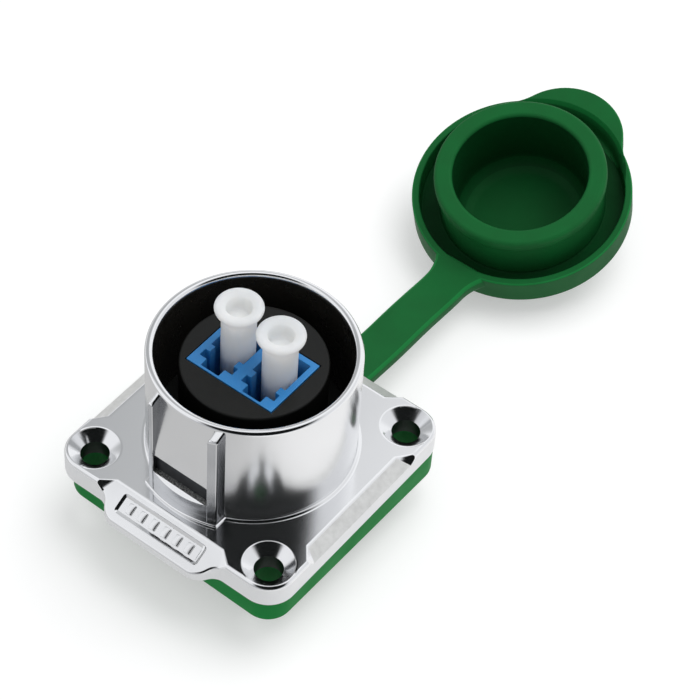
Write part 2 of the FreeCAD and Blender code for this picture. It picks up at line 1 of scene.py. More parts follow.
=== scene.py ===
# %% [markdown]
# # A panel socket for a fibre optic plug
# The object is a square, bright plated housing with a round mouth. A green rubber gasket seals it to a panel,
# and a strap of the same rubber holds the cap that closes the mouth. Inside sits a black insert with a blue
# duplex adapter, and two white dust plugs keep the fibre ends clean.
# The CAD model is loaded first and stays as it is. Finer pieces then take the place of the parts that show.

# %% Load the CAD model
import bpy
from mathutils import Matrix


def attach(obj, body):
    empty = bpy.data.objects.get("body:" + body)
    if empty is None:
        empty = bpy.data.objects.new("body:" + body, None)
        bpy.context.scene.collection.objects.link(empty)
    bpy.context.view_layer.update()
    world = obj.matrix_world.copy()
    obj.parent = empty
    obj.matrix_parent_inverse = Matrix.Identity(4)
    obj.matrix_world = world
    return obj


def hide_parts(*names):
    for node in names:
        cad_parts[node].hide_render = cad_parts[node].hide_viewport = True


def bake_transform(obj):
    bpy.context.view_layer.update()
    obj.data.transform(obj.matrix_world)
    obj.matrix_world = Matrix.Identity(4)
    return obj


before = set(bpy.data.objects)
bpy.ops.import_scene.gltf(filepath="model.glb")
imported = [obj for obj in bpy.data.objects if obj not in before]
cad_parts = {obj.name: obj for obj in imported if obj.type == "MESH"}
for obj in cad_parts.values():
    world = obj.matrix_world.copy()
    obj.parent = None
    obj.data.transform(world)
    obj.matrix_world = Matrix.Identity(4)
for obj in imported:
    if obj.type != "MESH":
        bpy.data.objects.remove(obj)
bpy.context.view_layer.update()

# %% [markdown]
# ## The camera
# The photograph was taken with a long lens from the front right, well above the socket. These numbers were
# found by laying the screw holes, the rim and the cap over the picture until they all agreed.

# %% Camera
import math
import bpy
from mathutils import Matrix, Vector

MM = 0.001
FLANGE_TOP = 7.2
SHIFT_ACROSS, SHIFT_ALONG, DISTANCE = 11.966, 10.570, 297.148
SENSOR_WIDTH, FOCAL_LENGTH = 36.0, 125.34
azimuth, elevation, roll = (math.radians(a) for a in (34.075, 48.857, 4.499))
back = Vector((math.sin(azimuth) * math.cos(elevation), -math.cos(azimuth) * math.cos(elevation),
               math.sin(elevation)))
level = Vector((math.cos(azimuth), math.sin(azimuth), 0))
upward = back.cross(level)
across = level * math.cos(roll) + upward * math.sin(roll)
along = upward * math.cos(roll) - level * math.sin(roll)
eye = (across * SHIFT_ACROSS + along * SHIFT_ALONG + back * DISTANCE + Vector((0, 0, FLANGE_TOP))) * MM

camera = bpy.data.objects.new("camera", bpy.data.cameras.new("camera"))
bpy.context.scene.collection.objects.link(camera)
camera.data.sensor_width, camera.data.lens = SENSOR_WIDTH, FOCAL_LENGTH
camera.data.clip_start, camera.data.clip_end = 0.01, 10.0
camera.matrix_world = Matrix.Translation(eye) @ Matrix((across, along, back)).transposed().to_4x4()
bpy.context.scene.camera = camera
print("camera at", [round(c, 4) for c in eye])

# %% [markdown]
# ## Starting shapes
# Each piece starts from a primitive and is shaped by the same operators that a modeller uses by hand. The
# pieces are drawn in millimetres, a thousand times too big, because the tools round off very small numbers,
# and each is shrunk to its real size when it is done.

# %% Starting shapes
def take(piece):
    """Makes one piece the only selected one, in object mode."""
    if bpy.context.object is not None and bpy.context.object.mode != "OBJECT":
        bpy.ops.object.mode_set(mode="OBJECT")
    bpy.ops.object.select_all(action="DESELECT")
    if piece is not None:
        piece.select_set(True)
        bpy.context.view_layer.objects.active = piece


def settle(piece):
    """Puts the place, turn and scale of a piece into its mesh."""
    take(piece)
    bpy.ops.object.transform_apply(location=True, rotation=True, scale=True)


def just_added(name):
    """Names the primitive just added, and settles it."""
    piece = bpy.context.object
    piece.name = name
    settle(piece)
    return piece


def block(name, low, high):
    """Adds a box between two corners."""
    take(None)
    middle = [(a + b) / 2 for a, b in zip(low, high)]
    bpy.ops.mesh.primitive_cube_add(size=1, location=middle, scale=[b - a for a, b in zip(low, high)])
    return just_added(name)


print("starting shapes ready, in units of", MM, "m")

# %% [markdown]
# ## Picking, easing and joining
# By hand, a modeller clicks on the edges to round. Here they are picked by their place instead. Pieces are
# joined and cut by boolean modifiers, and cleaned afterwards, because each cut leaves needless edges behind.

# %% Picking, easing and joining
def pick(piece, kind, wanted):
    """Opens a piece in edit mode with only the wanted vertices, edges or faces selected, and counts them."""
    take(piece)
    bpy.ops.object.mode_set(mode="EDIT")
    bpy.ops.mesh.select_mode(type=kind)
    bpy.ops.mesh.select_all(action="DESELECT")
    bpy.ops.object.mode_set(mode="OBJECT")
    mesh = piece.data
    place = [v.co for v in mesh.vertices]
    parts, test = {"VERT": (mesh.vertices, lambda v: wanted(v.co)),
                   "EDGE": (mesh.edges, lambda e: wanted(place[e.vertices[0]], place[e.vertices[1]])),
                   "FACE": (mesh.polygons, lambda f: wanted(f.center, f.normal))}[kind]
    found = 0
    for part in parts:
        part.select = bool(test(part))
        found += part.select
    bpy.ops.object.mode_set(mode="EDIT")
    return found


def ease(piece, wanted, width, segments, **options):
    """Rounds the wanted edges, and counts them."""
    found = pick(piece, "EDGE", wanted)
    bpy.ops.mesh.bevel(offset=width, segments=segments, affect="EDGES", **options)
    take(piece)
    return found


def combine(piece, other, how):
    """Joins, cuts or intersects a piece with another, which is used up."""
    take(piece)
    step = piece.modifiers.new("combine", "BOOLEAN")
    step.operation, step.object, step.solver = how, other, "EXACT"
    bpy.ops.object.modifier_apply(modifier=step.name)
    bpy.data.objects.remove(other)


def clean(piece, keep=lambda c, n: False):
    """Merges doubled vertices, joins flat neighbours but those to keep, and turns all faces outwards."""
    pick(piece, "VERT", lambda p: True)
    bpy.ops.mesh.remove_doubles(threshold=0.002)
    pick(piece, "FACE", lambda c, n: not keep(c, n))
    bpy.ops.mesh.dissolve_limited(angle_limit=math.radians(0.1))
    bpy.ops.mesh.select_all(action="SELECT")
    bpy.ops.mesh.normals_make_consistent(inside=False)
    take(piece)


print("tools for picking, easing and joining ready")

# %% [markdown]
# ## The housing: flange and front tab
# The housing is a zinc die casting in one piece. Its flange is a square plate with rounded corners, and a
# tab that narrows grows out of its front edge. The two are modelled apart and joined, because a bevel on a
# plain block is easy to aim. The hollow corners between them are rounded afterwards.

# %% Flange and tab
FLANGE_HALF, FLANGE_LOW, FLANGE_CORNER = 17.2, 4.0, 3.7
TAB_ROOT, TAB_REACH, TAB_ROOT_HALF, TAB_TIP_HALF = 15.0, 19.4, 10.1, 7.1
shell = block("shell_casting", (-FLANGE_HALF, -FLANGE_HALF, FLANGE_LOW),
              (FLANGE_HALF, FLANGE_HALF, FLANGE_TOP))
ease(shell, lambda a, b: abs(a.z - b.z) > 1, FLANGE_CORNER, 12)
tab = block("tab", (-TAB_ROOT_HALF, -TAB_REACH, FLANGE_LOW), (TAB_ROOT_HALF, -TAB_ROOT, FLANGE_TOP))
pick(tab, "VERT", lambda p: p.y < -19)
bpy.ops.transform.resize(value=(TAB_TIP_HALF / TAB_ROOT_HALF, 1, 1), center_override=(0, 0, 0))
ease(tab, lambda a, b: abs(a.z - b.z) > 1 and a.y < -19, 1.3, 8)
combine(shell, tab, "UNION")
clean(shell)
tab_meets = (TAB_ROOT_HALF + TAB_TIP_HALF) / 2
found = ease(shell, lambda a, b: abs(a.z - b.z) > 1 and abs(abs(a.x) - tab_meets) < 0.05
             and abs(a.y + FLANGE_HALF) < 0.05, 0.9, 6)
print("hollow corners rounded where the tab meets the flange:", found)

# %% [markdown]
# ## The housing: rounded top edge and four slopes
# The top edges of such a casting are always rounded, so that the metal fills the mould and the plating holds.
# Between the corner pads each side of the flange falls away in a slope, and the pads end in slanted faces.
# Moving edges would bend the rounded walls, so a tilted block cuts each slope. It is made upright, with its
# ends drawn out so that they slant, and laid on.

# %% Top edge and slopes
SLOPE_START, SLOPE_FALL = 15.4, 0.55
ease(shell, lambda a, b: abs(a.z - FLANGE_TOP) < 0.01 and abs(b.z - FLANGE_TOP) < 0.01, 0.55, 4)
slope = math.atan(SLOPE_FALL)
fall = Vector((0, -math.cos(slope), -math.sin(slope)))
out = Vector((0, -math.sin(slope), math.cos(slope)))
on_side = Matrix((Vector((-1, 0, 0)), fall, out)).transposed().to_4x4()
crease_half = (8.1, 8.6, 8.6, 8.6)
CUT_LENGTH, CUT_HEIGHT, SPREAD_DOWN, SPREAD_UP = 10, 4, 0.45, 1.78
for quarter, half in enumerate(crease_half):
    cutter = block("slope", (-half, 0, 0), (half, CUT_LENGTH, CUT_HEIGHT))
    for down, above in ((CUT_LENGTH, 0), (0, CUT_HEIGHT), (CUT_LENGTH, CUT_HEIGHT)):
        pick(cutter, "VERT", lambda p: abs(p.y - down) < 0.01 and abs(p.z - above) < 0.01)
        wider = 1 + (SPREAD_DOWN * down + SPREAD_UP * above) / half
        bpy.ops.transform.resize(value=(wider, 1, 1), center_override=(0, 0, 0))
    take(cutter)
    cutter.matrix_world = (Matrix.Rotation(quarter * math.pi / 2, 4, "Z")
                           @ Matrix.Translation((0, -SLOPE_START, FLANGE_TOP)) @ on_side)
    settle(cutter)
    combine(shell, cutter, "DIFFERENCE")
clean(shell)
print("flange with four slopes:", len(shell.data.polygons), "faces")

# %% [markdown]
# ## The housing: edges of the slopes
# The slope's lower edge and the edges of the pads are eased last. To find them, each point is looked at from
# all four sides: how far out it lies, and how far along that side.

# %% Edges of the slopes
def sides(p):
    """For each of the four sides: how far out a point is, how far along, and half the crease there."""
    return zip((-p.y, p.x, p.y, -p.x), (abs(p.x), abs(p.y), abs(p.x), abs(p.y)), crease_half)


def on_foot(p):
    """True for a point on the lower edge of a slope, where it meets the outer wall."""
    return any(abs(FLANGE_TOP - SLOPE_FALL * (side - SLOPE_START) - p.z) < 0.01
               and side > 17.15 and other < 9.8 for side, other, _ in sides(p))


def on_pad_edge(p):
    """True for a point on a crease or on the slanted top edge of a pad beside it."""
    return abs(p.z - FLANGE_TOP) < 0.01 and any(
        abs(side - SLOPE_START) < 0.01 and other < half + 0.01
        or 15.39 < side < 16.75 and abs(other - half - 1.25 * (side - SLOPE_START)) < 0.06
        for side, other, half in sides(p))


found = ease(shell, lambda a, b: on_foot(a) and on_foot(b), 0.3, 3, clamp_overlap=False)
creases = ease(shell, lambda a, b: on_pad_edge(a) and on_pad_edge(b), 0.2, 3, clamp_overlap=False)
print("edges eased along the foot of the slopes:", found, "and along their top:", creases)

# %% [markdown]
# ## Round shapes
# Most of the socket is round. A plain rod serves for cutting. Anything with a profile is turned, as on a
# lathe drawing: its outline is traced in radius and height, its corners are rounded, and it is spun. A Screw
# modifier could do that too, but a spin leaves a plain mesh that is ready to be cut.

# %% Round shapes
def rod(name, radius, low, high, at=(0, 0), sides=160):
    """Adds an upright cylinder."""
    take(None)
    bpy.ops.mesh.primitive_cylinder_add(vertices=sides, radius=radius, depth=high - low,
                                        location=(at[0], at[1], (low + high) / 2))
    return just_added(name)


def trace(name, points):
    """Draws a line: a plane is merged to one vertex, which is extruded from point to point."""
    take(None)
    bpy.ops.mesh.primitive_plane_add(size=1)
    piece = just_added(name)
    bpy.ops.object.mode_set(mode="EDIT")
    bpy.ops.mesh.select_mode(type="VERT")
    bpy.ops.mesh.select_all(action="SELECT")
    bpy.ops.mesh.merge(type="CENTER")
    points = [Vector(p) for p in points]
    bpy.ops.transform.translate(value=points[0])
    for a, b in zip(points, points[1:]):
        bpy.ops.mesh.extrude_region_move(TRANSFORM_OT_translate={"value": b - a})
    return piece


def turned(name, profile, steps=128):
    """Spins a profile of (radius, height, rounding of that corner) about the Z axis."""
    piece = trace(name, [(r, 0, z) for r, z, _ in profile])
    for r, z, rounding in profile:
        if rounding:
            pick(piece, "VERT", lambda p: (p - Vector((r, 0, z))).length < 1e-4)
            bpy.ops.mesh.bevel(offset=rounding, segments=5, affect="VERTICES")
    pick(piece, "VERT", lambda p: True)
    bpy.ops.mesh.spin(steps=steps, angle=math.tau, center=(0, 0, 0), axis=(0, 0, 1))
    bpy.ops.mesh.select_all(action="SELECT")
    bpy.ops.mesh.remove_doubles(threshold=0.001)
    bpy.ops.mesh.normals_make_consistent(inside=False)
    take(piece)
    return piece


print("tools for round shapes ready")

# %% [markdown]
# ## The housing: barrel
# The round mouth stands on the flange. At the foot a small fillet runs out into the flange, and the rim, with
# a narrow lip inside, is rounded on both edges.

# %% Barrel
BARREL_RADIUS, BORE_RADIUS, MOUTH_RADIUS = 12.9, 12.43, 11.85
BARREL_LOW, LIP_LOW, RIM_TOP, FILLET = 4.3, 23.05, 23.5, 0.55
fillet_out, fillet_up = 13.45, 7.75
foot = [(fillet_out - FILLET * math.sin(a), fillet_up - FILLET * math.cos(a), 0)
        for a in (0, 0.3, 0.6, 0.9, 1.2, math.pi / 2)]
barrel = turned("barrel", [
    (BORE_RADIUS, BARREL_LOW, 0), (fillet_out, BARREL_LOW, 0), *foot, (BARREL_RADIUS, RIM_TOP, 0.52),
    (MOUTH_RADIUS, RIM_TOP, 0.5), (MOUTH_RADIUS, LIP_LOW, 0), (BORE_RADIUS, LIP_LOW, 0),
    (BORE_RADIUS, BARREL_LOW, 0)], steps=160)
combine(shell, rod("flange_opening", 12.7, 3, 9), "DIFFERENCE")
combine(shell, barrel, "UNION")
clean(shell)
print("housing with barrel:", len(shell.data.polygons), "faces")

# %% [markdown]
# ## The housing: latch ramp and notch
# On the front of the barrel a plug's latch slides up a ramp between two ribs and drops into the notch below.
# The ramp is straight where the notch begins, and runs out into the round barrel at the top. Its block is
# divided finely, so that its front can be laid on that round.

# %% Latch ramp and notch
RAMP_FRONT, RAMP_START, RAMP_END = 13.46, 13.2, 22.5
latch = block("latch_ramp", (-4.6, -RAMP_FRONT, 6.8), (4.5, -11.6, 22.6))
for axis, cuts in ((0, 39), (2, 10)):
    pick(latch, "EDGE", lambda a, b: abs(a[axis] - b[axis]) > 5)
    bpy.ops.mesh.subdivide(number_cuts=cuts)
take(latch)
for vertex in latch.data.vertices:
    if vertex.co.y < -13.45 and vertex.co.z > RAMP_START:
        on_barrel = -math.sqrt(BARREL_RADIUS ** 2 - vertex.co.x ** 2)
        vertex.co.y += (on_barrel + RAMP_FRONT) * (vertex.co.z - RAMP_START) / (RAMP_END - RAMP_START)
notch = block("notch", (-4.35, -16.0, 10.4), (4.25, -12.95, 13.3))
ease(notch, lambda a, b: abs(a.y - b.y) > 1 and a.z > 13, 0.65, 5)
combine(latch, notch, "DIFFERENCE")
print("latch ramp with its notch:", len(latch.data.polygons), "faces")

# %% [markdown]
# ## The housing: latch ribs
# Each rib is a bar with a top that slopes to the front. Its front follows the round of the barrel a little,
# so the outer front edge is set back, and the top keeps its slope there.

# %% Latch ribs
RIB_FRONT, RIB_BACK, RIB_TOP, TOP_FALL = 13.66, 11.5, 23.32, 1.02
for left, right, bottom, set_back in ((-4.92, -4.1, 6.75, 0.12), (4.0, 5.28, 6.72, 0.44)):
    rib = block("rib", (left, -RIB_FRONT, bottom), (right, -RIB_BACK, RIB_TOP))
    pick(rib, "VERT", lambda p: p.z > 20 and p.y < -13)
    bpy.ops.transform.translate(value=(0, 0, -TOP_FALL))
    pick(rib, "VERT", lambda p: abs(p.x) > 4.5 and p.y < -13)
    bpy.ops.transform.translate(value=(0, set_back, 0))
    pick(rib, "VERT", lambda p: abs(p.x) > 4.5 and p.y < -13 and p.z > 20)
    bpy.ops.transform.translate(value=(0, 0, set_back * TOP_FALL / (RIB_FRONT - RIB_BACK)))
    ease(rib, lambda a, b: abs(a.z - b.z) > 10 and a.y < -13, 0.2, 3)
    ease(rib, lambda a, b: min(a.z, b.z) > 20, 0.32, 4)
    combine(latch, rib, "UNION")
print("latch with two ribs:", len(latch.data.polygons), "faces")

# %% [markdown]
# ## The housing: ledge and plinth of the latch
# A curved ledge closes the notch at the bottom. Its top is rough inside the notch, and falls away in a bright
# crescent in front of it. A low plinth carries the whole latch, which is then joined to the barrel.

# %% Ledge and plinth
LEDGE_RADIUS, LEDGE_TOP, CRESCENT_START, CRESCENT_FALL = 14.2, 10.42, -13.68, 0.72
ledge = rod("ledge", LEDGE_RADIUS, 6.6, LEDGE_TOP)
combine(ledge, block("ledge_width", (-4.3, -16, 6), (4.15, -11.2, 11)), "INTERSECT")
clean(ledge)
pick(ledge, "FACE", lambda c, n: True)
bpy.ops.mesh.bisect(plane_co=(0, CRESCENT_START, 0), plane_no=(0, -1, 0))
take(ledge)
for vertex in ledge.data.vertices:
    if vertex.co.z > 10.4 and vertex.co.y < CRESCENT_START - 0.01:
        vertex.co.z -= CRESCENT_FALL * (CRESCENT_START - vertex.co.y)
combine(latch, ledge, "UNION")


def soften(piece, width, segments=3, angle=35.0):
    """Rounds every edge that is sharper than an angle."""
    take(piece)
    step = piece.modifiers.new("soften", "BEVEL")
    step.width, step.segments, step.limit_method = width, segments, "ANGLE"
    step.angle_limit, step.use_clamp_overlap = math.radians(angle), False
    bpy.ops.object.modifier_apply(modifier=step.name)


plinth = rod("plinth", 14.75, 6.4, 7.6)
combine(plinth, block("plinth_width", (-5.5, -16, 6), (5.56, -11.4, 11)), "INTERSECT")
clean(plinth)
soften(plinth, 0.25, 4)
combine(latch, plinth, "UNION")
combine(latch, rod("latch_back", 12.6, 5, 25), "DIFFERENCE")
combine(shell, latch, "UNION")


def on_ramp(c, n):
    """True for a face of the ramp, whose fine division is kept."""
    return abs(c.x) < 4.1 and -13.7 < c.y < -12 and c.z > 13 and n.y < -0.7


clean(shell, on_ramp)
print("housing with latch:", len(shell.data.polygons), "faces")

# %% [markdown]
# ## The housing: screw holes
# Four countersunk screws hold the socket to the panel. A cone and a rod cut each hole, and the edge of the
# countersink is eased so that it catches the light as a fine ring.

# %% Screw holes
HOLE_AT, HOLE_RADIUS, SINK_RADIUS = 13.5, 1.8, 3.25
hole_places = [(x, y) for x in (-HOLE_AT, HOLE_AT) for y in (-HOLE_AT, HOLE_AT)]
for x, y in hole_places:
    take(None)
    bpy.ops.mesh.primitive_cone_add(vertices=64, radius1=1.5, radius2=3.55, depth=1.5, location=(x, y, 6.67))
    combine(shell, just_added("countersink"), "DIFFERENCE")
    combine(shell, rod("screw_hole", HOLE_RADIUS, 3, 7.1, at=(x, y), sides=64), "DIFFERENCE")
clean(shell, on_ramp)


def from_hole(p):
    """Distance of a point from the middle of the nearest screw hole."""
    return math.hypot(abs(p.x) - HOLE_AT, abs(p.y) - HOLE_AT)


def on_sink_edge(p):
    """True for a point on the upper edge of a countersink."""
    return abs(p.z - FLANGE_TOP) < 0.01 and abs(from_hole(p) - SINK_RADIUS) < 0.05


found = ease(shell, lambda a, b: on_sink_edge(a) and on_sink_edge(b), 0.16, 3, clamp_overlap=False)
print("edges eased round the countersinks:", found)

# %% [markdown]
# ## The housing: plain frame on the tab
# The sloping tab carries a low raised frame, and plain upright bars inside it give the thumb a grip. A thin
# plate is inset, its middle is pushed down, the bars are set on it, and the plate is tilted onto the slope.
# That completes the housing, so it is brought to metres, with smooth shading between its crisp edges.

# %% Frame on the tab
plate = block("tab_frame", (-6.3, -1.35, -0.3), (6.3, 1.35, 0.3))
ease(plate, lambda a, b: abs(a.z - b.z) > 0.2, 0.5, 5)
pick(plate, "FACE", lambda c, n: n.z > 0.9)
bpy.ops.mesh.inset(thickness=0.42)
bpy.ops.transform.translate(value=(0, 0, -0.27))
take(plate)
soften(plate, 0.11, 3)
FIRST_BAR, BAR_STEP, BAR_HALF = -4.5, 1.8, 0.45
for number in range(6):
    middle = FIRST_BAR + BAR_STEP * number
    bar = block("bar", (middle - BAR_HALF, -0.68, -0.2), (middle + BAR_HALF, 0.68, 0.26))
    soften(bar, 0.12, 3)
    combine(plate, bar, "UNION")
plate.rotation_euler = (slope, 0, 0)
plate.location = Vector((0, -SLOPE_START, FLANGE_TOP)) + 2.1 * fall
settle(plate)
combine(shell, plate, "UNION")
clean(shell, on_ramp)


def shrink(piece, angle=35.0):
    """Brings a finished piece to metres and gives it smooth shading with crisp edges."""
    piece.scale = (MM, MM, MM)
    settle(piece)
    bpy.ops.object.shade_smooth_by_angle(angle=math.radians(angle))
    step = piece.modifiers.new("weigh", "WEIGHTED_NORMAL")
    step.keep_sharp = True
    bpy.ops.object.modifier_apply(modifier=step.name)
    low, high = ([round(end(v.co[i] for v in piece.data.vertices) / MM, 2) for i in range(3)]
                 for end in (min, max))
    print(piece.name, "has", len(piece.data.polygons), "faces, from", low, "to", high, "mm")


shrink(shell, 26)

# %% [markdown]
# ## A shared group for moulded and cast surfaces
# Hardly any real surface has one even colour. This group drifts slowly between two colours, varies the
# gloss with the same slow pattern, and gives a fine grain for the bump. Each material sets its own sizes.

# %% Surface group
surface = bpy.data.node_groups.new("surface_grain", "ShaderNodeTree")
for label, kind, start in (("Colour", "Color", (0.5, 0.5, 0.5, 1)), ("Drift", "Color", (0.4, 0.4, 0.4, 1)),
                           ("Patches per metre", "Float", 120.0), ("Grains per metre", "Float", 4000.0),
                           ("Least roughness", "Float", 0.3), ("Most roughness", "Float", 0.5)):
    socket = surface.interface.new_socket(name=label, in_out="INPUT", socket_type="NodeSocket" + kind)
    socket.default_value = start
for label, kind in (("Colour", "Color"), ("Roughness", "Float"), ("Grain", "Float")):
    surface.interface.new_socket(name=label, in_out="OUTPUT", socket_type="NodeSocket" + kind)
put, wire = surface.nodes.new, surface.links.new
group_in, group_out = put("NodeGroupInput"), put("NodeGroupOutput")
where, patches, grains = put("ShaderNodeTexCoord"), put("ShaderNodeTexNoise"), put("ShaderNodeTexNoise")
spread, tint, gloss = put("ShaderNodeMapRange"), put("ShaderNodeMix"), put("ShaderNodeMapRange")
tint.data_type = "RGBA"
patches.inputs["Detail"].default_value, grains.inputs["Detail"].default_value = 4.0, 2.0
spread.inputs["From Min"].default_value, spread.inputs["From Max"].default_value = 0.3, 0.7
wire(where.outputs["Object"], patches.inputs["Vector"])
wire(where.outputs["Object"], grains.inputs["Vector"])
wire(group_in.outputs["Patches per metre"], patches.inputs["Scale"])
wire(group_in.outputs["Grains per metre"], grains.inputs["Scale"])
wire(patches.outputs["Fac"], spread.inputs["Value"])
wire(spread.outputs["Result"], tint.inputs["Factor"])
wire(group_in.outputs["Colour"], tint.inputs["A"])
wire(group_in.outputs["Drift"], tint.inputs["B"])
wire(spread.outputs["Result"], gloss.inputs["Value"])
wire(group_in.outputs["Least roughness"], gloss.inputs["To Min"])
wire(group_in.outputs["Most roughness"], gloss.inputs["To Max"])
wire(tint.outputs["Result"], group_out.inputs["Colour"])
wire(gloss.outputs["Result"], group_out.inputs["Roughness"])
wire(grains.outputs["Fac"], group_out.inputs["Grain"])
print("surface group has", len(surface.nodes), "nodes")

# %% [markdown]
# ## Materials from the group
# A material needs two colours, the number of patches and grains in a metre, the least and the most roughness,
# and the strength and depth of its bump. Whatever is even all over is set straight on the shader.

# %% Materials from the group
def finish_material(name, colour, drift, patches, grains, roughness, bump, **shader_values):
    """A material on the shared group."""
    material = bpy.data.materials.new(name)
    material.use_nodes = True
    nodes, links = material.node_tree.nodes, material.node_tree.links
    shader = nodes["Principled BSDF"]
    skin, relief = nodes.new("ShaderNodeGroup"), nodes.new("ShaderNodeBump")
    skin.node_tree = surface
    for socket, value in (("Colour", (*colour, 1)), ("Drift", (*drift, 1)), ("Patches per metre", patches),
                          ("Grains per metre", grains), ("Least roughness", roughness[0]),
                          ("Most roughness", roughness[1])):
        skin.inputs[socket].default_value = value
    relief.inputs["Strength"].default_value, relief.inputs["Distance"].default_value = bump
    links.new(skin.outputs["Colour"], shader.inputs["Base Color"])
    links.new(skin.outputs["Roughness"], shader.inputs["Roughness"])
    links.new(skin.outputs["Grain"], relief.inputs["Height"])
    links.new(relief.outputs["Normal"], shader.inputs["Normal"])
    for socket, value in shader_values.items():
        shader.inputs[socket.replace("_", " ")].default_value = value
    return material


def paint(piece, *materials, by_face=None):
    """Gives a piece its materials, and each face the one that by_face chooses, or else the first."""
    piece.data.materials.clear()
    for material in materials:
        piece.data.materials.append(material)
    if by_face is not None:
        chosen = [by_face(face) for face in piece.data.polygons]
        for face, material in zip(piece.data.polygons, chosen):
            face.material_index = materials.index(material)
        print(piece.name, "faces:", {material.name: chosen.count(material) for material in materials})


print("materials can be made")

# %% [markdown]
# ## The plating
# Nickel and chrome over a casting is almost white. It mirrors the room softly, and shows the grain of the
# casting under it. A polishing wheel doesn't reach everywhere: the barrel and the ramp stay satin, the slopes
# keep the skin of the mould, and inside the notch and the holes the metal is rough. Some faces carry painted
# light and shade. The notch's back wall and the walls of the screw holes have painted shade, greenish in the
# holes as a painted reflection of the gasket, and the fronts of the ledge and the ribs a lighter painted
# shade.
# The ribs' inner walls and the right rib's outer side have a dark painted reflection, and the flange's outer
# walls a near-white, less metallic finish as painted light.

# %% Plating
plating = finish_material("bright_plating", (0.88, 0.885, 0.895), (0.84, 0.845, 0.855), patches=60,
                          grains=7000, roughness=(0.10, 0.15), bump=(0.06, 0.00001), Metallic=1.0)
satin = finish_material("satin_plating", (0.87, 0.875, 0.885), (0.84, 0.845, 0.855), patches=90, grains=6000,
                        roughness=(0.18, 0.24), bump=(0.08, 0.00001), Metallic=1.0)
cast_slope = finish_material("cast_slope", (0.88, 0.88, 0.86), (0.80, 0.80, 0.78), patches=1500, grains=5200,
                             roughness=(0.34, 0.46), bump=(0.5, 0.00003), Metallic=1.0)
rough_cast = finish_material("rough_cast_zinc", (0.90, 0.90, 0.88), (0.20, 0.20, 0.20), patches=4200,
                             grains=5200, roughness=(0.30, 0.5), bump=(0.8, 0.00015), Metallic=1.0)
# Painted shade: a near-black finish for the notch's back wall.
notch_painted_shade = finish_material("shaded_recess", (0.024, 0.027, 0.033), (0.018, 0.020, 0.025), patches=900,
                         grains=5200, roughness=(0.3, 0.45), bump=(0.2, 0.00003), Metallic=0.6)
# Painted shade with a greenish tint, a painted reflection of the gasket, for the walls of the screw holes.
hole_painted_green_shade = finish_material("hole_painted_green_shade", (0.028, 0.044, 0.033), (0.020, 0.032, 0.024), patches=900,
                            grains=5200, roughness=(0.3, 0.45), bump=(0.2, 0.00003), Metallic=0.6)
# Painted shade: a greyer plating for the front of the ledge and the fronts of the ribs.
front_painted_shade = finish_material("shaded_plating", (0.64, 0.65, 0.67), (0.57, 0.58, 0.60), patches=200, grains=6000,
                         roughness=(0.16, 0.24), bump=(0.1, 0.00001), Metallic=1.0)
# Painted light: a near-white, barely metallic finish makes the flange's outer walls as bright as a reflection
# of a light floor.
wall_painted_light = finish_material("wall_painted_light", (0.96, 0.965, 0.975), (0.93, 0.935, 0.945), patches=500,
                              grains=5200, roughness=(0.28, 0.36), bump=(0.2, 0.00002), Metallic=0.15)
# Painted dark reflection: a dark plating for the ribs' inner walls and the right rib's outer side, so that
# they and their mirror image in the ramp look dark.
rib_painted_dark_reflection = finish_material("painted_dark_reflection_plating", (0.26, 0.265, 0.28), (0.21, 0.215, 0.23), patches=300, grains=6000,
                       roughness=(0.2, 0.3), bump=(0.1, 0.00001), Metallic=1.0)
finishes = (plating, satin, cast_slope, rough_cast, notch_painted_shade, hole_painted_green_shade, front_painted_shade, wall_painted_light, rib_painted_dark_reflection)
print("finishes of the housing:", len(finishes))

# %% [markdown]
# ## A finish for each face
# One casting has all of these finishes, so each face takes its own from its place and from the way it faces.
# A casting cut up into pieces would be simpler to colour, but it would show seams.

# %% A finish for each face
def finish_at(c, n):
    """Chooses the finish of a face by its middle, in millimetres, and its normal."""
    radius, side = math.hypot(c.x, c.y), max(abs(c.x), abs(c.y))
    between_ribs, is_wall = abs(c.x) < 4.3, abs(n.z) < 0.3
    if between_ribs and -13.95 < c.y < -12.4 and 10.2 < c.z < 13.3:
        if n.z > 0.9 and c.z < 10.7:
            return rough_cast
        # The notch's back wall gets painted shade.
        if c.y > -13.62 and c.z > 10.4:
            return notch_painted_shade
    # The screw holes' walls get painted shade and a painted green reflection.
    if from_hole(c) < 1.9 and is_wall:
        return hole_painted_green_shade
    # The front of the ledge gets painted shade.
    if between_ribs and -14.3 < c.y < -13.4 and c.z < 10.2 and abs(n.z) < 0.5:
        return front_painted_shade
    # The ribs' inner walls and the right rib's outer side get the painted dark reflection.
    if c.z > 8 and c.y < -11 and abs(n.x) > 0.7 and (3.7 < abs(c.x) < 4.2 and c.z > 13.2 or c.x > 5.2):
        return rib_painted_dark_reflection
    # The fronts of the ribs get painted shade.
    if 3.95 < abs(c.x) < 5.4 and -13.8 < c.y < -13.3 and c.z > 8 and n.y < -0.9:
        return front_painted_shade
    # The flange's outer walls get painted light.
    if is_wall and c.z < 7.0 and side > 15.5 and radius > 15.5:
        return wall_painted_light
    if is_wall and c.z > 7.9 and (12.8 < radius < 12.95 or abs(c.x) < 4.1 and -14.3 < c.y < -12):
        return satin
    if side > 15.5 and abs(n.z - 0.876) < 0.02:
        return satin if c.y < -15.5 else cast_slope
    return plating


paint(shell, *finishes, by_face=lambda face: finish_at(face.center / MM, face.normal))
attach(shell, "socket")
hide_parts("shell")

# %% [markdown]
# ## The gasket
# The gasket is a thick square of green silicone rubber under the flange. It is moulded, so its edges are
# round, and it has the flange's screw holes and an opening for the insert. It lies a little askew, as soft
# parts do.

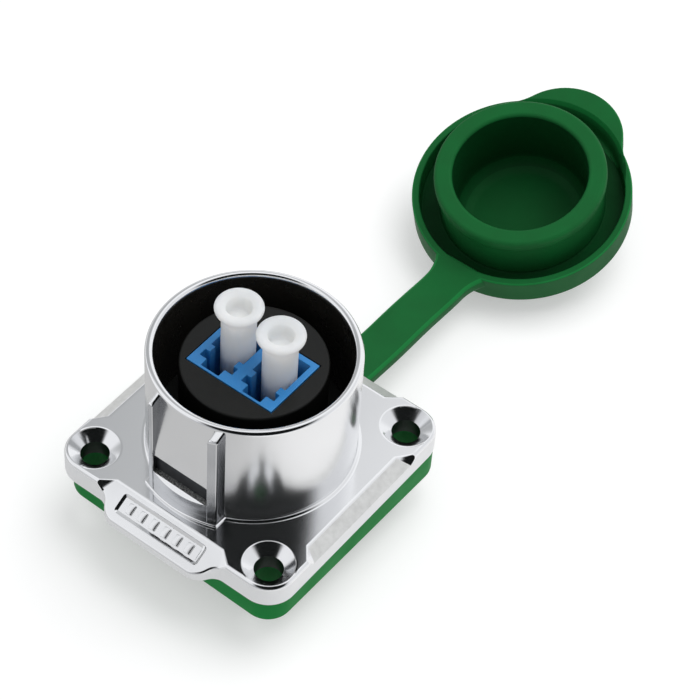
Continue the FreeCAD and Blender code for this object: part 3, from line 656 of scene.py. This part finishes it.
# %% Gasket
GASKET_HALF, GASKET_CORNER = 16.65, 3.2
gasket = block("gasket_rubber", (-GASKET_HALF, -GASKET_HALF, 0.0), (GASKET_HALF, GASKET_HALF, FLANGE_LOW))
ease(gasket, lambda a, b: abs(a.z - b.z) > 1, GASKET_CORNER, 12)
soften(gasket, 0.4, 4)
gasket.location, gasket.rotation_euler.z = (0.29, 0.25, 0), math.radians(-1.0)
settle(gasket)
combine(gasket, rod("opening", 11.8, -1, 5), "DIFFERENCE")
for place in hole_places:
    combine(gasket, rod("screw_hole", HOLE_RADIUS, -1, 5, at=place, sides=48), "DIFFERENCE")
clean(gasket)
shrink(gasket)

# %% [markdown]
# ## Green silicone
# Silicone rubber has a soft, slightly waxy surface with a fine grain from the mould. It lets a little light
# through, so rounded edges look lighter, and light hardly reaches deep walls, corners and floors. Scattering
# the light in the shader is slow and hard to steer in so dark a green, so light and shade are painted: a
# lighter green on rounded edges is a painted glow, and darker greens are painted shade, darkest on the walls
# of the cup and in the groove, lighter in the cup's corner and on its floor. The gasket's lighter green is
# painted light, for the light that the floor throws back onto its sides.

# %% Green silicone
def green(name, colour, drift, roughness, shine, patches=220):
    """A green silicone. All of them have the same grain."""
    return finish_material(name, colour, drift, patches, grains=7000, roughness=roughness,
                           bump=(0.14, 0.00004), Specular_IOR_Level=shine)


rubber = green("green_silicone", (0.0082, 0.122, 0.029), (0.0095, 0.107, 0.027), (0.46, 0.58), 0.09)
# Painted glow: a lighter green for the rounded edges of the cap's rim and the strap.
edge_glow_rubber = green("green_silicone_painted_edge_glow", (0.011, 0.190, 0.044), (0.012, 0.170, 0.040), (0.46, 0.58), 0.09)
# Painted shade: the darkest green, for the walls of the cup and the groove.
cup_deep_shade_rubber = green("green_silicone_painted_deep_shade", (0.0034, 0.052, 0.0125), (0.004, 0.045, 0.0115),
                     (0.40, 0.52), 0.06)
# Painted shade: a darker green for the rounded corner at the bottom of the cup.
cup_corner_shade_rubber = green("green_silicone_painted_corner_shade", (0.0047, 0.071, 0.0168), (0.0054, 0.062, 0.0156),
                      (0.44, 0.56), 0.08)
# Painted shade: a slightly darker green for the floor of the cup.
cup_floor_shade_rubber = green("green_silicone_painted_floor_shade", (0.0062, 0.093, 0.022), (0.0072, 0.082, 0.0206),
                     (0.44, 0.56), 0.08)
# Painted light: a lighter green for the gasket, for the light that the floor throws onto its sides.
gasket_painted_light_rubber = green("green_silicone_gasket_painted_light", (0.009, 0.240, 0.048), (0.010, 0.212, 0.043), (0.42, 0.55), 0.08,
                    patches=200)
paint(gasket, gasket_painted_light_rubber)
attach(gasket, "socket")
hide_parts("gasket")
print("gasket in", gasket_painted_light_rubber.name)

# %% [markdown]
# ## The insert
# The black insert lines the barrel and carries the adapter in a round boss. Between the two runs a deep
# ring-shaped gap that takes the nose of the plug. All of it but the adapter's pocket is round, so it is spun.

# %% Insert
BOSS_TOP, BOSS_RADIUS, GAP_FLOOR, LINER_TOP, LINER_RADIUS = 21.4, 8.95, 10.0, 23.0, 12.4
GROOVE_RADIUS, GROOVE_TOP, GROOVE_LOW, NECK_RADIUS, NECK_TOP = 11.2, 8.4, 6.6, 11.35, 5.75
SPIGOT_RADIUS, SPIGOT_INSIDE, SPIGOT_END, REAR_FACE = 11.0, 10.25, -5.0, -3.2
insert = turned("insert_moulding", [
    (0, BOSS_TOP, 0), (BOSS_RADIUS, BOSS_TOP, 0.3), (BOSS_RADIUS, GAP_FLOOR, 0), (MOUTH_RADIUS, GAP_FLOOR, 0),
    (MOUTH_RADIUS, LINER_TOP, 0.12), (LINER_RADIUS, LINER_TOP, 0), (LINER_RADIUS, GROOVE_TOP, 0),
    (GROOVE_RADIUS, GROOVE_TOP, 0), (GROOVE_RADIUS, GROOVE_LOW, 0), (LINER_RADIUS, GROOVE_LOW, 0),
    (LINER_RADIUS, NECK_TOP, 0), (NECK_RADIUS, NECK_TOP, 0), (NECK_RADIUS, 0, 0.1), (SPIGOT_RADIUS, 0, 0),
    (SPIGOT_RADIUS, SPIGOT_END, 0.2), (SPIGOT_INSIDE, SPIGOT_END, 0.1), (SPIGOT_INSIDE, REAR_FACE, 0),
    (0, REAR_FACE, 0)])
combine(insert, block("front_pocket", (-6.5, -4.95, 9.5), (6.5, 4.45, 23)), "DIFFERENCE")
combine(insert, block("rear_pocket", (-6.9, -5.35, -6), (6.9, 4.85, 9.6)), "DIFFERENCE")
for x in (-8.1, 8.1):
    combine(insert, rod("screw_hole", 0.85, -4, 3, at=(x, 0), sides=32), "DIFFERENCE")
clean(insert)


def on_pocket_edge(p):
    """True for a point on the upper edge of the adapter's pocket."""
    return abs(p.z - BOSS_TOP) < 0.01 and abs(p.x) < 6.6 and abs(p.y) < 5.1


ease(insert, lambda a, b: on_pocket_edge(a) and on_pocket_edge(b), 0.12, 2, clamp_overlap=False)
shrink(insert)
black = finish_material("black_moulding", (0.0052, 0.0056, 0.0052), (0.0080, 0.0085, 0.0078), patches=300,
                        grains=5200, roughness=(0.34, 0.48), bump=(0.22, 0.00005), Specular_IOR_Level=0.26)
# Painted light: the liner's black is lighter and browner than the boss's, a painted reflection and light on a
# wall that lies in shade.
polished_liner_painted_light = finish_material("polished_black_liner_painted_light", (0.012, 0.0115, 0.010), (0.016, 0.015, 0.013), patches=250,
                           grains=3000, roughness=(0.22, 0.32), bump=(0.05, 0.00002), Specular_IOR_Level=0.4)
LINER_FROM = 0.0093
# Faces outside the boss get the liner's black with painted light.
paint(insert, black, polished_liner_painted_light, by_face=lambda face: (
    polished_liner_painted_light if math.hypot(face.center.x, face.center.y) > LINER_FROM else black))
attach(insert, "socket")
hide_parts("insert")

# %% [markdown]
# ## The adapter's front half
# The blue adapter is moulded with two ports side by side. Each port is the shape of the plug that it takes:
# a near square body, two guide nubs, and a narrow slot for the latch. The outline is traced and extruded
# into a cutter. A little tube at the bottom of each port holds the alignment sleeve.

# %% Adapter front half
PORT_AT, FIBRE_Y = 3.125, 0.85
TUBE_BORE, TUBE_RADIUS, TUBE_LOW, TUBE_TOP = 0.835, 1.2, 10.3, 13.7


def slab(name, outline, low, high):
    """Fills an outline and extrudes it upwards."""
    piece = trace(name, [(x, y, low) for x, y in outline])
    bpy.ops.mesh.select_all(action="SELECT")
    bpy.ops.mesh.edge_face_add()
    bpy.ops.mesh.extrude_region_move(TRANSFORM_OT_translate={"value": (0, 0, high - low)})
    bpy.ops.mesh.select_all(action="SELECT")
    bpy.ops.mesh.normals_make_consistent(inside=False)
    take(piece)
    return piece


adapter = block("adapter_front_moulding", (-6.4, -4.85, 9.5), (6.4, 4.35, BOSS_TOP))
half_port = [(2.45, 3.6), (2.45, -1.2), (1.78, -1.2), (1.78, -2.25), (2.45, -2.25), (2.45, -3.32),
             (1.33, -3.32), (1.33, -4.5)]
port = half_port + [(-x, y) for x, y in reversed(half_port)]
for middle in (-PORT_AT, PORT_AT):
    combine(adapter, slab("port", [(middle + x, y) for x, y in port], 10.5, 23), "DIFFERENCE")
clean(adapter)
soften(adapter, 0.1, 2)
for middle in (-PORT_AT, PORT_AT):
    tube = turned("tube", [(TUBE_BORE, TUBE_LOW, 0), (TUBE_RADIUS, TUBE_LOW, 0), (TUBE_RADIUS, TUBE_TOP, 0.1),
                           (TUBE_BORE, TUBE_TOP, 0.1), (TUBE_BORE, TUBE_LOW, 0)], steps=40)
    tube.location = (middle, FIBRE_Y, 0)
    settle(tube)
    combine(adapter, tube, "UNION")
shrink(adapter)
blue = finish_material("blue_moulding", (0.030, 0.230, 0.560), (0.026, 0.205, 0.520), patches=180,
                       grains=6000, roughness=(0.30, 0.42), bump=(0.12, 0.00003), Subsurface_Weight=0.05,
                       Subsurface_Scale=0.0006)
paint(adapter, blue)
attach(adapter, "socket")
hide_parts("adapter_front")

# %% [markdown]
# ## The dust plugs
# Each plug is a soft white moulding with a round head to pull it by and a hollow end. The left one isn't
# pushed home, and stands a little higher. The second is a copy with a mesh of its own, moved into place.

# %% Dust plugs
PLUG_TOP, PLUG_LOW, PLUG_RADIUS, HEAD_RADIUS, HOLLOW_RADIUS, HOLLOW_TOP = 27.95, 14.2, 2.125, 2.97, 1.45, 19.0
plug = turned("dust_plug_right_moulding", [
    (0, PLUG_TOP - 2.3, 0), (1.45, PLUG_TOP - 2.3, 0.3), (1.6, PLUG_TOP - 0.42, 0.15), (2.5, PLUG_TOP, 0.3),
    (HEAD_RADIUS, PLUG_TOP - 0.28, 0.22), (HEAD_RADIUS, PLUG_TOP - 0.68, 0.2),
    (PLUG_RADIUS, PLUG_TOP - 2.05, 0.4), (PLUG_RADIUS, PLUG_LOW, 0.25), (HOLLOW_RADIUS, PLUG_LOW, 0.1),
    (HOLLOW_RADIUS, HOLLOW_TOP, 0), (0, HOLLOW_TOP, 0)], steps=72)
other_plug = plug.copy()
other_plug.data = plug.data.copy()
other_plug.name = "dust_plug_left_moulding"
bpy.context.scene.collection.objects.link(other_plug)
white = finish_material("white_moulding", (0.96, 0.95, 0.92), (0.93, 0.92, 0.88), patches=260, grains=5000,
                        roughness=(0.36, 0.48), bump=(0.10, 0.00003), Subsurface_Weight=1.0,
                        Subsurface_Scale=0.006, Subsurface_Radius=(1.0, 0.92, 0.85))
for one, middle, lift, node in ((plug, PORT_AT, 0, "dust_plug_right"),
                                (other_plug, -PORT_AT, 0.35, "dust_plug_left")):
    one.location = (middle, FIBRE_Y, lift)
    settle(one)
    shrink(one)
    paint(one, white)
    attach(one, "socket")
    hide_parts(node)

# %% [markdown]
# ## The cap
# The cap's ring goes into the mouth, and the groove round it takes the barrel's rim. The ring, the groove and
# the outer rim are spun in one go, with the end of the ring at height zero.

# %% Cap
RING_IN, RING_BEAD, RING_OUT, RIM_IN, RIM_OUT, DOME = 9.15, 11.65, 11.2, 13.95, 14.95, 10.6
CUP_FLOOR, GROOVE_FLOOR, RIM_EDGE, RIM_BACK, DOME_BACK = -11.4, -7.75, -4.7, -8.75, -12.4
cap = turned("cap_rubber", [
    (0, CUP_FLOOR, 0), (RING_IN, CUP_FLOOR, 2.4), (RING_IN, 0, 0.5), (RING_BEAD, 0, 0.6),
    (RING_BEAD, -1.6, 0.35), (RING_OUT, -2.1, 0.2), (RING_OUT, GROOVE_FLOOR, 0.3),
    (RIM_IN, GROOVE_FLOOR, 0.3), (RIM_IN, RIM_EDGE, 0.2), (RIM_OUT, RIM_EDGE, 0.28), (RIM_OUT, RIM_BACK, 0.3),
    (DOME, RIM_BACK, 0.5), (DOME, DOME_BACK, 1.2), (0, DOME_BACK, 0)])
print("cap without its tab:", len(cap.data.polygons), "faces")

# %% [markdown]
# ## The cap's pull tab
# The tab's outline runs round its end and through a wide hollow round into the rim. It is traced for one
# half, mirrored, and joined on flush with the top. A soft hollow in front of the tab leaves room for the two
# ribs of the latch when the cap is on. Then the cap is laid where it lies in the photograph.

# %% Pull tab
rim, tab_size, tab_at, round_size = 14.85, 8.16, 10.5, 8.0
reach = ((rim + round_size) ** 2 - (tab_size + round_size) ** 2 + tab_at ** 2) / (2 * tab_at)
corner = Vector((math.sqrt((rim + round_size) ** 2 - reach ** 2), reach))
joint = math.atan2(corner.y, corner.x)
tip = math.atan2(corner.y - tab_at, corner.x)


def arc(x, y, size, start, end, skip=0):
    """Points of an arc about a middle, without the first few."""
    angles = [start + (end - start) * step / 14 for step in range(15)]
    return [(x + size * math.cos(a), y + size * math.sin(a)) for a in angles[skip:]]


half = arc(0, tab_at, tab_size, math.pi / 2, tip)
half += arc(corner.x, corner.y, round_size, math.pi + tip, math.pi + joint, skip=1)
half += arc(0, 0, 14.25, joint, math.pi / 2)
tab = slab("pull_tab", half + [(-x, y) for x, y in reversed(half[1:-1])], -7.2, -4.71)
soften(tab, 0.3, 4)
combine(cap, tab, "UNION")
hollow = turned("hollow", [(0, -7.7, 0), (11.4, -7.7, 0.4), (11.65, -5.6, 0.6), (12.35, -4.6, 0),
                           (0, -4.6, 0)])
hollow.location.y = 3.4
settle(hollow)
combine(hollow, rod("ring_stays", 12.6, -9, -4), "DIFFERENCE")
combine(cap, hollow, "DIFFERENCE")
clean(cap)
cap_pose = (Matrix.Translation((0, 57.0, 9.6)) @ Matrix.Rotation(math.radians(14.5), 4, "X")
            @ Matrix.Rotation(math.radians(2), 4, "Z"))
cap.matrix_world = cap_pose
settle(cap)
shrink(cap)

# %% [markdown]
# ## The cap's greens
# Light hardly reaches into the cup and the groove, and shines through the rim's rounded edge, so these greens
# are painted shade and a painted glow. Each face gets its green by the distance of its corners from the cap's
# axis, their height, and how far it faces upwards.

# %% Greens of the cap
to_cap = cap_pose.inverted()


def cap_green(face):
    """Chooses the green of a face, painted shade and glow included, as seen with the cap upright."""
    corners = [to_cap @ (cap.data.vertices[i].co / MM) for i in face.vertices]
    radius = sum(math.hypot(p.x, p.y) for p in corners) / len(corners)
    height = sum(p.z for p in corners) / len(corners)
    upright = (to_cap.to_3x3() @ face.normal).z
    in_cup = radius < 9.3 and -11.39 < height < -0.6 and abs(upright) < 0.3
    in_groove = 11.1 < radius < 14.0 and -7.8 < height < -6.2
    # The walls of the cup and the groove get the darkest painted shade.
    if in_cup or in_groove:
        return cup_deep_shade_rubber
    # The rim's rounded outer edge gets the painted glow.
    if radius > 14.6 and height > -5.2 and 0.3 < upright < 0.95:
        return edge_glow_rubber
    # The cup's rounded corner gets a lighter painted shade.
    if 6.6 < radius < 9.2 and -11.39 < height < -8 and 0.3 <= upright < 0.8:
        return cup_corner_shade_rubber
    # The cup's floor gets the lightest painted shade.
    if radius < 9.2 and height < -10.5 and upright >= 0.8:
        return cup_floor_shade_rubber
    return rubber


paint(cap, rubber, cup_deep_shade_rubber, edge_glow_rubber, cup_corner_shade_rubber, cup_floor_shade_rubber, by_face=cap_green)
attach(cap, "cap")
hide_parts("cap")

# %% [markdown]
# ## The strap
# A flat strap of the same rubber runs from under the flange to the cap. It bends at both ends, and it is made
# in two halves that meet in the middle. A straight bar is cut into short lengths, its long edges are rounded,
# and its points are then laid along a gentle curve. A bevelled curve could bend as well, but here each point
# can also be moved outwards, for the hollow round that leads the strap into the rim of the cap.

# %% Strap
STRAP_HALF, STRAP_THICK_HALF, STRAP_START, STRAP_MIDDLE = 2.95, 1.0, 15.6, 31.2
FLARE_START, FLARE_LENGTH, FLARE_WIDENS, RIM_MIDDLE = 40.9, 3.6, 0.75, 14.4
lip_end = cap_pose @ Vector((0, -RIM_MIDDLE, -5.74))
marks = ((15.0, 1.06), (18.2, 1.04), (24.0, 0.62), (27.0, 0.42), (33.0, 0.45), (36.0, 0.3), (39.0, 0.05),
         (41.3, 0.0), (42.84, 0.25), (lip_end.y, lip_end.z), (lip_end.y + 2, lip_end.z + 0.52))


def strap_line(y):
    """Height of the strap's middle line at a distance from the socket's axis."""
    for (y0, z0), (y1, z1) in zip(marks, marks[1:]):
        if y <= y1:
            return z0 + (z1 - z0) * ((y - y0) / (y1 - y0))
    return marks[-1][1]


def on_curve(point):
    """Moves a point of the straight bar onto the curve, and widens the strap towards the cap."""
    x, y, z = point
    middle = sum(strap_line(y + d) for d in (-1.5, -0.75, 0, 0.75, 1.5)) / 5
    tilt = math.atan((strap_line(y + 1.0) - strap_line(y - 1.0)) / 2.0)
    flare = min(1.0, max(0.0, (y - FLARE_START) / FLARE_LENGTH))
    x *= 1 + FLARE_WIDENS * (1 - math.sqrt(1 - flare ** 2))
    bow = (RIM_MIDDLE - math.sqrt(RIM_MIDDLE ** 2 - x ** 2)) * flare
    return x, y + bow - math.sin(tilt) * z, middle + math.cos(tilt) * z


def strap_half(name, start, end):
    """Makes one half of the strap."""
    bar = block(name, (-STRAP_HALF, start, -STRAP_THICK_HALF), (STRAP_HALF, end, STRAP_THICK_HALF))
    ease(bar, lambda a, b: abs(a.y - b.y) > 1, 0.62, 5)
    pick(bar, "EDGE", lambda a, b: abs(a.y - b.y) > 1)
    bpy.ops.mesh.subdivide(number_cuts=56)
    take(bar)
    for vertex in bar.data.vertices:
        vertex.co = on_curve(vertex.co)
    shrink(bar)
    # The strap's rounded long edges get the painted glow.
    paint(bar, rubber, edge_glow_rubber,
          by_face=lambda face: edge_glow_rubber if 0.3 < face.normal.z < 0.93 else rubber)
    return bar


near = strap_half("strap_near_socket", STRAP_START, STRAP_MIDDLE)
far = strap_half("strap_near_cap", STRAP_MIDDLE, lip_end.y)
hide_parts("strap")
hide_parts("strap")
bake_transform(near)
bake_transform(far)

# %% [markdown]
# ## Parts that stay as they are
# The rear of the adapter, the retainer and its screws, the sleeves, the seal and the snap ring keep their
# CAD shape, and get materials of their own.

# %% Materials for the other parts
steel = finish_material("screw_steel", (0.55, 0.55, 0.56), (0.46, 0.46, 0.47), patches=500, grains=8000,
                        roughness=(0.22, 0.36), bump=(0.1, 0.00002), Metallic=1.0)
spring = finish_material("spring_steel", (0.36, 0.36, 0.37), (0.27, 0.27, 0.28), patches=400, grains=7000,
                         roughness=(0.28, 0.42), bump=(0.12, 0.00002), Metallic=1.0)
ceramic = finish_material("white_ceramic", (0.84, 0.83, 0.79), (0.80, 0.79, 0.75), patches=300, grains=9000,
                          roughness=(0.10, 0.18), bump=(0.05, 0.00001))
seal = finish_material("black_seal_rubber", (0.010, 0.010, 0.010), (0.016, 0.016, 0.016), patches=400,
                       grains=6000, roughness=(0.48, 0.62), bump=(0.2, 0.00004))
kept = {"adapter_rear": blue, "rear_retainer": black, "retainer_screw_left": steel,
        "retainer_screw_right": steel, "sleeve_left": ceramic, "sleeve_right": ceramic, "insert_seal": seal,
        "retaining_ring": spring}
for node, material in kept.items():
    paint(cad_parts[node], material)
print("CAD parts with new materials:", len(kept))

# %% [markdown]
# ## The floor
# The socket lies on white paper. The camera sees the paper a little brighter than the lamp makes it, so that
# it fades into a white background and keeps its shadow. In the metal it shows as a plain light tone that
# falls off to the front left.

# %% Floor
FLOOR_HEIGHT, PAPER_GREY, CAMERA_GLOW = -0.00502, 0.66, 0.40
take(None)
bpy.ops.mesh.primitive_plane_add(size=6, location=(0, 0, FLOOR_HEIGHT))
floor = bpy.context.object
floor.name = "floor"
paper = bpy.data.materials.new("white_paper")
paper.use_nodes = True
nodes, links = paper.node_tree.nodes, paper.node_tree.links
nodes.remove(nodes["Principled BSDF"])
matt, glow, lit, path, lift, mirrored, seen, where, lean, fade = (nodes.new("ShaderNode" + kind) for kind in (
    "BsdfDiffuse", "Emission", "AddShader", "LightPath", "Math", "Emission", "MixShader", "TexCoord",
    "VectorMath", "MapRange"))
matt.inputs["Color"].default_value = (PAPER_GREY, PAPER_GREY, PAPER_GREY, 1)
lift.operation, lift.inputs[1].default_value = "MULTIPLY", CAMERA_GLOW
lean.operation, lean.inputs[1].default_value = "DOT_PRODUCT", (0.85, 0.53, 0)
fade.interpolation_type = "SMOOTHSTEP"
for socket, value in (("From Min", -0.010), ("From Max", 0.030), ("To Min", 0.60), ("To Max", 0.98)):
    fade.inputs[socket].default_value = value
links.new(path.outputs["Is Camera Ray"], lift.inputs[0])
links.new(lift.outputs[0], glow.inputs["Strength"])
links.new(matt.outputs[0], lit.inputs[0])
links.new(glow.outputs[0], lit.inputs[1])
links.new(where.outputs["Object"], lean.inputs[0])
links.new(lean.outputs["Value"], fade.inputs["Value"])
links.new(fade.outputs["Result"], mirrored.inputs["Strength"])
links.new(path.outputs["Is Glossy Ray"], seen.inputs["Fac"])
links.new(lit.outputs[0], seen.inputs[1])
links.new(mirrored.outputs[0], seen.inputs[2])
links.new(seen.outputs[0], nodes["Material Output"].inputs["Surface"])
floor.data.materials.append(paper)
print("floor at", round(floor.location.z / MM, 2), "mm")

# %% [markdown]
# ## The lamp
# One wide soft lamp hangs overhead, behind the socket and to its right. It isn't mirrored in the metal, where
# a small disk would look out of place.

# %% Lamp
key = bpy.data.objects.new("soft_lamp", bpy.data.lights.new("soft_lamp", "AREA"))
bpy.context.scene.collection.objects.link(key)
key.data.shape, key.data.size, key.data.energy = "DISK", 0.5, 1.9
key.visible_glossy = False
key.location = (0.10, 0.20, 0.58)
key.rotation_euler = (Vector((0, 0.02, 0)) - key.location).to_track_quat("-Z", "Y").to_euler()
print("lamp", key.data.energy, "W")

# %% [markdown]
# ## The surroundings
# Bright metal shows what is round it, so the surroundings matter as much as the lamp. In the metal they are
# light, grey in front and on one side, and dark where the camera stands. Each zone is a round patch of the
# sky with a soft border. Only reflections show these zones: the light that falls on dull surfaces comes from
# a plain, even sky.

# %% Surroundings
SKY_STRENGTH = 0.65
world = bpy.data.worlds.new("studio")
bpy.context.scene.world = world
world.use_nodes = True
nodes, links = world.node_tree.nodes, world.node_tree.links
around_us = nodes["Background"]
plain_sky, white_back, mirrored, mix, path, where = (nodes.new("ShaderNode" + kind) for kind in (
    "Background", "Background", "MixShader", "MixShader", "LightPath", "TexCoord"))
ahead = Vector((back.x, back.y, 0))
zones = ((Vector((0.60, 0.55, 0.58)), 0.80, 0.98, (0.83, 0.84, 0.86, 1)),
         (ahead, 0.10, 0.80, (0.46, 0.47, 0.49, 1)),
         (Vector((-0.75, 0.232, 0.619)), 0.81, 0.93, (0.44, 0.45, 0.46, 1)),
         (Vector((-0.55, -0.55, 0.63)), 0.80, 0.97, (0.92, 0.93, 0.95, 1)),
         (Vector((0.50, -0.48, 0.72)), 0.655, 0.82, (0.003, 0.004, 0.004, 1)))
colour = None
for middle, edge, core, shade in zones:
    facing, span, sky = (nodes.new("ShaderNode" + kind) for kind in ("VectorMath", "MapRange", "Mix"))
    facing.operation, facing.inputs[1].default_value = "DOT_PRODUCT", middle.normalized()
    span.interpolation_type = "SMOOTHSTEP"
    span.inputs["From Min"].default_value, span.inputs["From Max"].default_value = edge, core
    sky.data_type = "RGBA"
    sky.inputs["A"].default_value, sky.inputs["B"].default_value = (1.0, 1.01, 1.03, 1), shade
    links.new(where.outputs["Generated"], facing.inputs[0])
    links.new(facing.outputs["Value"], span.inputs["Value"])
    links.new(span.outputs["Result"], sky.inputs["Factor"])
    if colour is not None:
        links.new(colour, sky.inputs["A"])
    colour = sky.outputs["Result"]
links.new(colour, around_us.inputs["Color"])
around_us.inputs["Strength"].default_value = 1.0
plain_sky.inputs["Color"].default_value = (0.98, 0.99, 1.0, 1)
plain_sky.inputs["Strength"].default_value = SKY_STRENGTH
white_back.inputs["Color"].default_value = (1, 1, 1, 1)
links.new(path.outputs["Is Glossy Ray"], mirrored.inputs["Fac"])
links.new(plain_sky.outputs[0], mirrored.inputs[1])
links.new(around_us.outputs[0], mirrored.inputs[2])
links.new(path.outputs["Is Camera Ray"], mix.inputs["Fac"])
links.new(mirrored.outputs[0], mix.inputs[1])
links.new(white_back.outputs[0], mix.inputs[2])
links.new(mix.outputs[0], nodes["World Output"].inputs["Surface"])
bpy.context.scene.view_settings.view_transform = "Standard"
print("surroundings with", len(zones), "zones")
